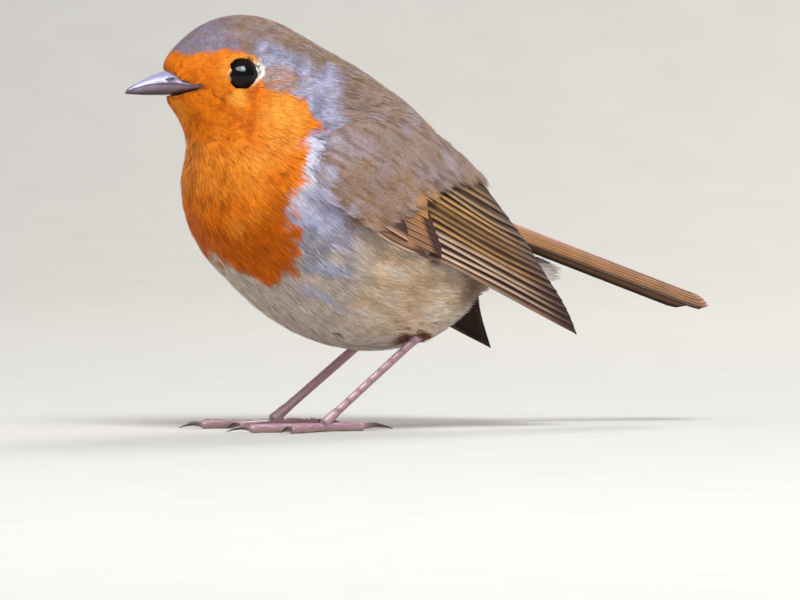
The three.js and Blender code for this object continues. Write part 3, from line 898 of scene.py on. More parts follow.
    def _breast(self, out: Array, p: Array, head: Array, patch: Array, fleck: Array, fine: Array) -> Array:
        """Lays the orange: deeper low down and at the throat as painted shade, lighter and more golden in the
        middle and on the cheek as painted light, and deeper in flecks.
        """
        x, z = p[..., 0], p[..., 2]
        tone = mixed(Palette.orange, Palette.gold, 0.35 * smooth(0.2, 1.3, patch))
        # painted shade: the orange deepens low down on the breast, where less light falls
        tone = mixed(tone, Palette.deep_orange, 0.8 * smooth(44.5, 35.0, z + 3.0 * patch))
        # painted light: the middle of the breast is painted lighter and more golden
        middle = smooth(8.0, 2.0, np.abs(z - 50.0)) * smooth(-38.0, -42.0, x)
        tone = mixed(tone, Palette.gold, 0.3 * middle)
        # painted shade: deeper orange at the throat
        throat = smooth(-52.0, -56.0, x + patch) * smooth(66.0, 60.0, z)
        tone = mixed(tone, Palette.deep_orange, 0.7 * throat)
        tone = mixed(tone, Palette.deep_orange, 0.5 * smooth(0.3, 1.2, fleck + 0.5 * fine))
        ahead, up = head[..., 0], head[..., 2]
        # painted light: the cheek is painted lighter and more golden
        cheek = smooth(6.0, 3.0, np.hypot(ahead + 6.0, (up + 9.0) * 0.8))
        tone = mixed(tone, Palette.gold, 0.45 * cheek)
        return mixed(out, tone, self.orange_share(p, head))

    def _face(self, out: Array, head: Array, fleck: Array, fine: Array) -> Array:
        """Lays the small marks round the eye and the gape."""
        ahead, side, up = head[..., 0], np.abs(head[..., 1]), head[..., 2]
        beside = smooth(4.0, 6.0, side)
        streak = smooth(-0.2, 0.9, fine + 0.6 * fleck)
        lines = smooth(-0.15, 0.45, self.streaks(0.3 * ahead, 0.4 * side, 1.6 * up + 0.5 * ahead))
        ears = beside * smooth(3.4, 1.8, np.hypot((ahead + 6.4) * 0.72, up + 0.4))
        out = mixed(out, mix(Palette.warm, Palette.lavender, 0.22), 0.85 * ears)
        out = mixed(out, mix(Palette.orange, Palette.warm, 0.35), 0.62 * ears * lines * smooth(4.0, -2.0, up))
        patch = beside * smooth(2.5, 0.7, np.hypot((ahead - 1.4) * 0.7, up + 3.9) + 0.7 * fleck)
        out = mixed(out, Palette.gold, 0.75 * patch)
        along, over = ahead - 6.2, up + 3.4
        malar = smooth(1.7, 0.5, np.hypot(along * 0.5, over - 0.2 * along)) * smooth(3.0, 4.5, side)
        out = mixed(out, Palette.rust, 0.9 * malar * streak)
        lore = smooth(0.7, 0.2, np.abs(up + 1.9)) * smooth(6.0, 8.0, ahead) * smooth(13.0, 11.0, ahead)
        out = mixed(out, Palette.rust, 0.5 * lore)
        return self._eye_ring(out, ahead, up, beside)

    def _eye_ring(self, out: Array, ahead: Array, up: Array, beside: Array) -> Array:
        """Lays the pale ring, broad behind the eye and thin under it."""
        dx, dz = ahead - EYE.ahead, up - EYE.up
        round_eye = np.hypot(dx / EYE.half_wide, dz / EYE.half_high)
        over = smooth(0.3, 1.0, dz / np.maximum(np.hypot(dx, dz), 0.1))
        turn = np.degrees(np.arctan2(dz, -dx)) % 360.0
        reach = np.interp(turn, self.reach_turns, self.reaches, period=360)
        white = np.interp(turn, self.white_turns, self.whites, period=360)
        ring = beside * smooth(reach + 0.12, reach - 0.12, round_eye)
        brow = beside * over * smooth(2.3, 1.7, round_eye) * smooth(4.0, 1.0, dx)
        out = mixed(out, Palette.gold, 0.8 * brow)
        return mixed(out, mixed(Palette.gold, Palette.ring, white), 0.95 * ring)


# ---- skin


class Skin:
    """The one skin under the coat, from the base of the bill to the tail."""

    def __init__(self, body: Field) -> None:
        """Finds the surface that lies inside the outline by the coat's depth."""
        self.body = body
        steps = np.stack(np.meshgrid(*[np.arange(n) for n in body.size], indexing="ij"), -1)
        places = steps * body.step + body.low
        values = body.values + self.depth(places)
        for side in Side:
            eye = np.linalg.norm(places - EYE.centre(side), axis=-1)
            values = np.maximum(values, EYE.radius - 0.2 - eye)
        values = np.maximum(values, self._notch(places))
        self.points, self.faces = self.net(values, body.low, body.step)

    @staticmethod
    def _notch(p: Array) -> Array:
        """How far points lie ahead of the edge of the feathers at the bill, which is notched at the gape."""
        head = HEAD.into(p)
        up = (-4.6, -3.9, -3.4, -3.0, -2.3, -1.9, -1.5, -1.15, -0.6, 0.0, 1.0, 1.4, 2.5)
        ahead = (15.0, 13.4, 12.0, 10.1, 8.4, 7.4, 8.4, 10.1, 11.9, 12.5, 13.4, 14.4, 16.5)
        edge = np.interp(head[..., 2], up, ahead)
        return np.where(p[..., 2] > 60.0, head[..., 0] - edge, -9.0)

    @staticmethod
    def depth(p: Array) -> Array:
        """How deep the coat is over the skin at points.

        Args:
            p: Points in the bird's millimetres.

        Returns:
            One depth in millimetres for each point.
        """
        head = HEAD.into(p)
        on_head = smooth(57.0, 63.0, p[..., 2]) * smooth(-17.0, -11.0, head[..., 0])
        out = mix(1.15, 0.7, on_head)
        out = mix(out, 0.42, on_head * smooth(-4.0, 4.0, head[..., 0]))
        out = out + 0.35 * smooth(36.0, 28.0, p[..., 2])
        leg = smooth(22.5, 18.5, p[..., 2])
        return mix(out, 0.5, leg)

    @staticmethod
    def net(values: Array, low: Array, step: float) -> tuple[Array, Array]:
        """A closed net of quads where a grid of values passes 0.

        Args:
            values: The grid, below 0 inside.
            low: The place of its first node.
            step: The distance between nodes.

        Returns:
            The net's points and its outward quads.
        """
        inside = values < 0
        total = np.zeros((*values.shape, 3))
        count = np.zeros(values.shape)
        crossings = []
        for axis in range(3):
            here = tuple(slice(None, -1) if i == axis else slice(None) for i in range(3))
            there = tuple(slice(1, None) if i == axis else slice(None) for i in range(3))
            edges = np.argwhere(inside[here] != inside[there])
            a, b = values[here][tuple(edges.T)], values[there][tuple(edges.T)]
            spot = edges.astype(float)
            spot[:, axis] += a / (a - b)
            u, v = [(1, 2), (2, 0), (0, 1)][axis]
            cells = []
            for du, dv in ((0, 0), (1, 0), (1, 1), (0, 1)):
                cell = edges.copy()
                cell[:, u] -= du
                cell[:, v] -= dv
                np.add.at(total, tuple(cell.T), spot)
                np.add.at(count, tuple(cell.T), 1)
                cells.append(cell)
            crossings.append((cells, a < 0))
        ids = np.full(values.shape, -1)
        ids[count > 0] = np.arange((count > 0).sum())
        points = total[count > 0] / count[count > 0][:, None] * step + low
        quads = []
        for cells, outward in crossings:
            quad = np.stack([ids[tuple(cell.T)] for cell in cells], -1)
            quads.append(np.where(outward[:, None], quad, quad[:, ::-1]))
        return points, np.vstack(quads)

    def quads(self) -> tuple[Array, Array]:
        """The middle and the area of each quad."""
        a, b, c, d = (self.points[self.faces[:, i]] for i in range(4))
        return (a + b + c + d) / 4, np.linalg.norm(np.cross(c - a, d - b), axis=1) / 2

    def made(self, markings: Markings, material: Material) -> Piece:
        """Builds the skin's mesh with its markings, darkened as painted shade.

        Args:
            markings: The colours of the plumage.
            material: The finish of the bare skin.

        Returns:
            The piece, which stands for all the nodes of flesh.
        """
        gather = Gather()
        # painted shade: the skin takes the plumage's colours darkened, as it shows only in the shaded gaps
        # under the coat
        shade = markings.colour(self.points) * 0.62
        gather.add(self.points, [self.faces], shade, np.zeros((len(self.points), 2)))
        return gather.made("skin", material)


# ---- coat


class Flow:
    """The lie of the coat: away from the bill on the head, round the eye, and towards the vent behind."""

    vent = (34.0, 0.0, 26.0)
    spine = Curve(
        [(-56, 0, 65.5), (-47, 0, 67), (-40, 0, 66.5), (-31, 0, 59), (-17, 0, 43), (5, 0, 35.5), (22, 0, 30)]
    )
    bill = (15.0, 0.0, -1.8)  # where the coat lies away from, in the head

    def __init__(self, body: Field) -> None:
        """Samples the spine."""
        self.body = body
        self.share = np.linspace(0, 1, 160)
        self.nodes = self.spine.at(self.share)
        self.tangents = unit(np.gradient(self.nodes, axis=0))

    def nearest(self, p: Array) -> Array:
        """The index of the spine's sample that lies beside each point."""
        out = np.empty(len(p), int)
        for start in range(0, len(p), 20000):
            part = p[start : start + 20000]
            gap = ((part[:, None, :] - self.nodes) ** 2).sum(-1)
            out[start : start + 20000] = gap.argmin(1)
        return out

    def at(self, p: Array, normal: Array) -> Array:
        """The direction in which the coat lies.

        Args:
            p: Points on the body.
            normal: The outward directions there.

        Returns:
            Unit directions along the surface.
        """
        from_bill = p - HEAD.out(self.bill)
        tail = unit(np.array(self.vent) - p)
        gone = np.linalg.norm(from_bill, axis=1)
        axis = mix(unit(from_bill), tail, smooth(16.0, 34.0, gone)[:, None])
        sag = smooth(64.0, 50.0, p[:, 2]) * smooth(6.0, 14.0, np.abs(p[:, 1])) * smooth(-8.0, -28.0, p[:, 0])
        axis = axis - UP * (0.4 * sag)[:, None]
        from_eye = EYE.nearest(p)
        near = smooth(4.6, 3.4, np.linalg.norm(from_eye, axis=1))
        axis = mix(axis, unit(from_eye), 0.75 * near[:, None])
        return unit(axis - normal * (axis * normal).sum(-1, keepdims=True))

    def place_on_skin(self, p: Array) -> Array:
        """A place on an unwrap of the body: round the spine, and along it.

        Args:
            p: Points on the body.

        Returns:
            One place of 0 to 1 across and along for each point.
        """
        index = self.nearest(p)
        away = p - self.nodes[index]
        over = unit(np.cross(self.tangents[index], [0.0, 1.0, 0.0]))
        angle = np.arctan2(away[:, 1], -(away * over).sum(-1))
        along = self.share[index] + (away * self.tangents[index]).sum(-1) / self.spine.length
        return np.stack([0.5 + 0.48 * angle / math.pi, 0.03 + 0.94 * np.clip(along, -0.03, 1.03)], -1)


@dataclass(frozen=True)
class Lock:
    """The make of one feather of the coat: a hidden vane, and the fine barbs that lie over it."""

    barbs: int = 26
    spread: float = 0.46  # how far from the midline a barb may start, as a share of the feather's width
    fan: float = 1.25  # how much farther out it ends
    reach: float = 0.4  # how long a barb is, as a share of the feather's length

    def vane(self) -> tuple[Array, list[Array]]:
        """The vane as places along, across and up, with its faces."""
        along = np.array([0.0, 0.3, 0.58])
        half = np.array([0.4, 0.5, 0.42])
        rows = [[(u, -w, 0.0), (u, 0.0, 0.04), (u, w, 0.0)] for u, w in zip(along, half)]
        points = np.vstack([np.array(rows).reshape(-1, 3), [(0.8, 0.0, 0.0)]])
        tip = np.array([[6, 9, 7], [7, 9, 8]])
        return points, [grid_faces(3, 3)[:, ::-1], tip]

    def barb(self) -> tuple[Array, Array, list[Array]]:
        """The barb's points, as shares of its own length and width, with its faces."""
        along = np.array([0, 0, 0.5, 0.5, 1.0])
        across = np.array([-0.8, 0.8, -1, 1, 0]) * 0.5
        return along, across, [np.array([[0, 2, 3, 1]]), np.array([[2, 4, 3]])]


@dataclass
class Feathers:
    """Many contour feathers of the coat, as arrays with one row for each feather."""

    root: Array
    normal: Array
    length: Array
    width: Array
    barb_width: Array
    lift: Array
    region: Array


@dataclass
class Batch:
    """The feathers of one piece of the coat, with their place on the unwrap and the colour at a point."""

    lines: tuple[Array, Array, Array]
    length: Array
    width: Array
    barb_width: Array
    shade: Array
    place: Array
    tint_at: Callable


class Region(Enum):
    """The pieces that the coat is split into."""

    FACE = "coat_face"
    CROWN = "coat_crown"
    BREAST = "coat_breast"
    LEFT = "coat_left"
    RIGHT = "coat_right"
    BACK = "coat_back"
    BELLY = "coat_belly"


@dataclass
class Coat:
    """The feathers that lie over the skin, in tufts of barbs on thin vanes."""

    skin: Skin
    markings: Markings
    wings: list[WingForm]
    material: Material
    lock: Lock = field(default_factory=Lock)
    stations: int = 6
    most: int = 2100  # feathers in one piece
    stray: float = 0.35  # how far the skin may lie from its depth where feathers still grow on it
    tries: int = 9000  # places tried for the soft feathers on one wing
    on_wing: float = 0.84  # feathers on a square millimetre of the wing

    def __post_init__(self) -> None:
        """Finds the lie of the coat."""
        self.flow = Flow(self.skin.body)
        self.rng = np.random.default_rng(SEED)

    def spacing(self, p: Array) -> Array:
        """How many feathers grow on a square millimetre.

        Args:
            p: Points on the skin.

        Returns:
            One density for each point.
        """
        head = HEAD.into(p)
        on_head = smooth(56.0, 62.0, p[..., 2]) * smooth(-17.0, -12.0, head[..., 0])
        out = mix(1.0, 2.5, on_head)
        out = mix(out, 4.2, on_head * smooth(-6.0, 3.0, head[..., 0]))
        return out * mix(1.0, 1.8, smooth(5.4, 4.2, np.linalg.norm(EYE.nearest(p), axis=1)))

    def grown(self) -> Feathers:
        """Scatters the roots over the skin and sizes the feathers.

        Returns:
            The feathers of the whole coat.
        """
        middle, area = self.skin.quads()
        value, _ = self.skin.body.read(middle)
        bare = np.abs(value + self.skin.depth(middle)) > self.stray
        for wing in self.wings:
            bare = bare | wing.covers(middle)
        weight = area * self.spacing(middle) * ~bare
        total = np.cumsum(weight)
        picks = np.arange(0.5, total[-1]) + self.rng.uniform(-0.35, 0.35, int(total[-1] - 0.5) + 1)
        face = np.clip(np.searchsorted(total, picks), 0, len(middle) - 1)
        corners = self.skin.points[self.skin.faces[face]]
        u, v = self.rng.uniform(0, 1, (2, len(face), 1))
        root = mix(mix(corners[:, 0], corners[:, 1], u), mix(corners[:, 3], corners[:, 2], u), v)
        _, slope = self.skin.body.read(root)
        out = unit(slope)
        head = HEAD.into(root)
        on_head = smooth(55.0, 63.0, root[:, 2]) * smooth(-18.0, -11.0, head[:, 0])
        on_face = on_head * smooth(-7.0, 5.0, head[:, 0])
        length = mix(mix(6.6, 3.8, on_head), 2.1, on_face) * self.rng.uniform(0.8, 1.2, len(root))
        width = mix(mix(2.7, 1.7, on_head), 1.1, on_face) * self.rng.uniform(0.85, 1.15, len(root))
        barb = mix(mix(0.17, 0.12, on_head), 0.085, on_face)
        eye = np.minimum(*[np.linalg.norm(root - EYE.centre(s), axis=1) for s in Side])
        ring = smooth(4.9, 4.0, eye)
        length, width = mix(length, 0.95, ring), mix(width, 0.8, ring)
        leg = smooth(24.0, 20.0, root[:, 2]) * (np.abs(root[:, 1]) > 5)
        length, width = mix(length, 3.2, leg), mix(width, 1.8, leg)
        lift = mix(0.04, 0.02, on_head) * self.rng.uniform(0.0, 1.0, len(root)) ** 2
        fluffy = smooth(-12.0, -2.0, root[:, 0]) * smooth(32.0, 26.0, root[:, 2])
        fluffy = fluffy * smooth(2.0, 7.0, np.abs(root[:, 1]))
        lift = lift + 0.26 * fluffy * self.rng.uniform(0.3, 1.0, len(root))
        return Feathers(root, out, length, width, barb, lift, self.regions(root, head))

    @staticmethod
    def regions(p: Array, head: Array) -> Array:
        """The piece of the coat in which each root lies.

        Args:
            p: The roots.
            head: The roots as places in the head.

        Returns:
            The index of a region for each root.
        """
        order = list(Region)
        back = (p[:, 2] > 48) | (p[:, 0] > -4) & (p[:, 2] > 33)
        low = p[:, 2] < 31
        out = np.where(p[:, 1] < 0, order.index(Region.LEFT), order.index(Region.RIGHT))
        out = np.where(p[:, 0] < -38, order.index(Region.BREAST), out)
        out = np.where(back & (p[:, 0] > -33), order.index(Region.BACK), out)
        out = np.where(low, order.index(Region.BELLY), out)
        on_head = p[:, 2] > 60.0 + 0.2 * (p[:, 0] + 40)
        out = np.where(on_head, order.index(Region.CROWN), out)
        return np.where(on_head & (head[:, 0] > -3.0), order.index(Region.FACE), out)

    def midlines(self, f: Feathers) -> tuple[Array, Array, Array]:
        """Lays the midline of each feather over the body.

        Args:
            f: The feathers.

        Returns:
            Points along each feather, and the across and outward directions there.
        """
        depth = self.skin.depth(f.root)
        p, normal = f.root, f.normal
        points, across, outward = [], [], []
        for i in range(self.stations):
            share = i / (self.stations - 1)
            level = -depth * (1 - share**0.6) + f.lift * share**2 * f.length
            if i:
                p = self.skin.body.settled(p, level, 1)
            _, slope = self.skin.body.read(p)
            normal = unit(slope)
            ahead = self.flow.at(p, normal)
            points.append(p)
            across.append(np.cross(normal, ahead))
            outward.append(normal)
            p = p + ahead * (f.length / (self.stations - 1))[:, None]
        return np.stack(points, 1), np.stack(across, 1), np.stack(outward, 1)

    def laid(self, lines: tuple[Array, Array, Array], u: Array, w: Array, h: Array) -> tuple[Array, Array]:
        """Points at places along, across and up from the midlines.

        Args:
            lines: The midlines, with their across and outward directions.
            u: Shares of the length, a row for each feather.
            w: Millimetres to the side.
            h: Millimetres outward.

        Returns:
            A point for each place, and the outward direction there.
        """
        place = np.clip(u, 0, 1) * (self.stations - 1)
        cell = np.minimum(place.astype(int), self.stations - 2)
        share = (place - cell)[..., None]
        row = np.arange(len(u))[:, None]
        spot, side, out = (mix(line[row, cell], line[row, cell + 1], share) for line in lines)
        return spot + side * w[..., None] + out * h[..., None], out

    def made(self) -> list[tuple[Region, Piece]]:
        """Builds the pieces of the coat.

        Returns:
            Each piece, with the region in which it lies.
        """
        feathers = self.grown()
        log.info("coat: %d feathers", len(feathers.root))
        lines = self.midlines(feathers)
        tip = lines[0][:, -1]
        shade = self.rng.normal(1.0, 0.08, len(tip))
        pieces = []
        for index, region in enumerate(Region):
            whole = np.flatnonzero(feathers.region == index)
            made = self._pieces(region.value, lines, feathers, whole, shade, self.markings.colour)
            pieces += [(region, piece) for piece in made]
        return pieces

    def _pieces(
        self, name: str, lines: tuple, f: Feathers, whole: Array, shade: Array, tint_at: Callable
    ) -> list[Piece]:
        """Builds some feathers, parted so that no piece holds too many.

        Args:
            name: The first part of the pieces' names.
            lines: The midlines of all the feathers.
            f: The feathers.
            whole: Which of them to build.
            shade: How light each one is.
            tint_at: The colour at a point.

        Returns:
            The pieces.
        """
        made = []
        for part, pick in enumerate(np.array_split(whole, -(-len(whole) // self.most))):
            gather = Gather()
            sizes = (size[pick, None] for size in (f.length, f.width, f.barb_width, shade))
            place = self.flow.place_on_skin(f.root[pick])
            some = Batch(tuple(line[pick] for line in lines), *sizes, place, tint_at)
            self._add_vanes(gather, some)
            self._add_barbs(gather, some)
            made.append(gather.made(f"{name}_{part + 1}", self.material))
        return made

    def made_on_wing(self, wing: WingForm) -> list[Piece]:
        """Builds the soft feathers that lie over the front and the top of a folded wing.

        Args:
            wing: The wing.

        Returns:
            The pieces.
        """
        rng = self.rng
        s, t = rng.uniform(0.0, 0.66, self.tries), rng.uniform(0.0, 0.99, self.tries)
        e = 0.01
        spot = wing.surface(s, t)
        size = np.cross(wing.surface(s + e, t) - spot, wing.surface(s, t + e) - spot) / e**2
        area = np.linalg.norm(size, axis=1)
        x, z = spot[:, 0], spot[:, 2]
        low = np.interp(x, [-33, -26.6, -18.4, -7.2], [47.5, 42.6, 36.0, 31.8])
        front = (z > low + 1.3) & (x < np.interp(z, [36.0, 41.0, 45.0, 49.0], [-24.5, -23.5, -15.5, -9.0]))
        roof = np.interp(x, [-14.0, -12.7, -8.7, -1.7, 3.3, 9.0], [44.4, 45.2, 49.0, 50.8, 50.2, 49.5])
        top = (z > roof) & (t > 0.5) & (x < 9.0)
        keep = (front | top) & (rng.uniform(0, area.max(), len(s)) < area * self.on_wing)
        s, t = s[keep], t[keep]
        n = len(s)
        length, width = rng.uniform(4.8, 7.0, n), rng.uniform(2.2, 3.0, n)
        normal = wing.normal(np.clip(s, 0.02, 0.98), np.clip(t, 0.03, 0.97))
        x, z = wing.surface(s, t)[:, [0, 2]].T
        points, across, outward = [], [], []
        for i in range(self.stations):
            share = i / (self.stations - 1)
            high = smooth(44.0, 50.0, z)
            s, t = wing.find(x, z)
            normal = wing.normal(np.clip(s, 0.02, 0.98), np.clip(t, 0.03, 0.97))
            rise = mix(-0.3, mix(0.95, 0.6, high), smooth(0.0, 0.5, share)) - 0.25 * smooth(0.6, 1.0, share)
            ahead = unit(np.stack([mix(0.9, 0.8, high), 0 * x, mix(-0.42, -0.6, high)], -1))
            ahead = unit(ahead - normal * (ahead * normal).sum(-1, keepdims=True))
            points.append(wing.placed(wing.surface(s, t) + normal * np.reshape(rise, (-1, 1))))
            across.append(np.cross(wing.turned(normal), wing.turned(ahead)))
            outward.append(wing.turned(normal))
            stride = length / (self.stations - 1)
            x, z = x + ahead[:, 0] * stride, z + ahead[:, 2] * stride
        lines = tuple(np.stack(rows, 1) for rows in (points, across, outward))
        some = np.full(n, 0.16)
        feathers = Feathers(lines[0][:, 0], lines[2][:, 0], length, width, some, 0 * some, 0 * some)
        shade = rng.normal(1.0, 0.06, n)
        name = f"coat_wing_{wing.side.name.lower()}"
        return self._pieces(name, lines, feathers, np.arange(n), shade, self.markings.wing_colour)

    def made_under_tail(self) -> list[Piece]:
        """Builds the loose pale feathers under the root of the tail."""
        rng, n = self.rng, 90
        turn = rng.uniform(0, 2 * math.pi, n)
        back = rng.uniform(12.0, 23.0, n)
        out = unit(np.stack([0.1 + 0 * turn, np.sin(turn), np.cos(turn)], -1))
        root = np.stack([back, 0 * back, 33.0 - 0.22 * (back - 12.0)], -1)
        root = root + out * rng.uniform(1.2, 2.2, (n, 1))
        ahead = unit(np.stack([1.0 + 0 * turn, -0.05 * root[:, 1], -0.26 - 0.06 * np.cos(turn)], -1))
        length, width = rng.uniform(5.0, 7.0, n), rng.uniform(1.8, 2.6, n)
        share = np.linspace(0, 1, self.stations)[None, :, None]
        points = root[:, None] + ahead[:, None] * length[:, None, None] * share
        points = points - out[:, None] * (1.4 * share**2) + UP * rng.normal(0, 0.3, (n, 1, 1)) * share**2
        outward = np.repeat(out[:, None], self.stations, 1)
        lines = (points, np.cross(outward, ahead[:, None]), outward)
        feathers = Feathers(root, out, length, width, np.full(n, 0.14), 0 * turn, 0 * turn)
        shade = rng.normal(1.0, 0.05, n)
        return self._pieces("coat_under_tail", lines, feathers, np.arange(n), shade, self.markings.colour)

    def _add_vanes(self, gather: Gather, some: Batch) -> None:
        """Adds the vane of each feather, which hides the skin under the barbs."""
        shape, faces = self.lock.vane()
        u = np.broadcast_to(shape[:, 0], (len(some.width), len(shape)))
        points, out = self.laid(some.lines, u, shape[:, 1] * some.width, shape[:, 2] * some.width - 0.1)
        tone = some.tint_at(some.lines[0][:, -2])
        # darker towards the root: partly the grey down at a feather's base, partly painted shade in the gaps
        # under the barbs
        tint = tone[:, None, :] * (mix(0.6, 0.95, u) * some.shade)[..., None]
        vane = np.stack([0.5 + shape[:, 1], shape[:, 0]], -1)
        self._spread(gather, points, out, faces, tint, vane, some.place)

    def _add_barbs(self, gather: Gather, some: Batch) -> None:
        """Adds the fine barbs that lie nearly side by side over each feather."""
        lock, rng, width = self.lock, self.rng, some.width
        n, b = len(width), lock.barbs
        along, across, faces = lock.barb()
        spot = (np.arange(b) * GOLDEN + rng.uniform(0, 1, (n, b)) * 0.5) % 1.0
        side = np.linspace(-1, 1, b) + rng.uniform(-0.12, 0.12, (n, b))
        start = 0.05 + 0.58 * spot
        reach = lock.reach * rng.uniform(0.75, 1.2, (n, b))
        end = np.minimum(start + reach, 1.04 - 0.16 * side**2)
        base = side * lock.spread * width
        fan = base * mix(lock.fan, 0.75, spot) + rng.normal(0, 0.05, (n, b)) * width
        up = rng.uniform(0.0, 0.09, (n, b)) * np.sqrt(some.length) * 0.6
        u = start[..., None] + (end - start)[..., None] * along
        w = base[..., None] + (fan - base)[..., None] * along**1.4
        w = w + across * (some.barb_width * rng.uniform(0.65, 1.35, (n, b)))[..., None]
        h = up[..., None] * np.array([0.2, 0.2, 1.0, 1.0, 0.5])
        flat = (n, b * len(along))
        points, out = self.laid(some.lines, u.reshape(flat), w.reshape(flat), h.reshape(flat))
        ends, _ = self.laid(some.lines, mix(start, end, 0.6), fan, up)
        tone = some.tint_at(ends)
        light = rng.normal(1.0, 0.12, (n, b)) * some.shade
        # darker towards the root of each barb: partly the grey base of the feather, partly painted shade deep
        # in the coat
        fade = mix(0.82, 1.06, along)
        tint = tone[:, :, None, :] * (light[..., None] * fade)[..., None]
        all_faces = []
        for face in faces:
            steps = np.arange(b)[:, None, None] * len(along)
            all_faces.append((face[None] + steps).reshape(-1, face.shape[1]))
        vane = np.stack([np.full(flat[1], 0.5), np.tile(along, b)], -1)
        self._spread(gather, points, out, all_faces, tint.reshape(*flat, 3), vane, some.place)

    @staticmethod
    def _spread(
        gather: Gather, points: Array, out: Array, faces: list, tint: Array, vane: Array, place: Array
    ) -> None:
        """Adds one shape many times over, with its faces, its colours and its patch on the unwrap.

        Args:
            gather: The piece that is being gathered.
            points: The points, a row for each feather.
            out: The directions that their shading faces.
            faces: The faces of one shape.
            tint: The colour of each point.
            vane: Each point's place across and along the vane.
            place: The root of each feather on the skin's unwrap.
        """
        n, k = points.shape[:2]
        steps = (np.arange(n) * k)[:, None, None]
        many = [(face[None] + steps).reshape(-1, face.shape[1]) for face in faces]
        patch = place[:, None, :] + (vane - 0.5) * PATCH
        vane = np.tile(vane, (n, 1))
        gather.add(
            points.reshape(-1, 3), many, tint.reshape(-1, 3), vane, patch.reshape(-1, 2), out.reshape(-1, 3)
        )


# ---- wings


class Sort(Enum):
    """The sorts of long feather on the wing."""

    PRIMARY = "primary"
    SECONDARY = "secondary"
    TERTIAL = "tertial"
    COVERT = "covert"
    ALULA = "alula"


@dataclass(frozen=True)
class Quill:
    """One long feather of the wing, by the path of its outer edge in a side view."""

    sort: Sort
    rank: int
    path: tuple[tuple[float, float], ...]  # x and z of points from its root to its tip
    width: float
    height: float  # how far it lies above the wing's surface
    pointed: float = 0.1  # share of the length over which it narrows to the tip


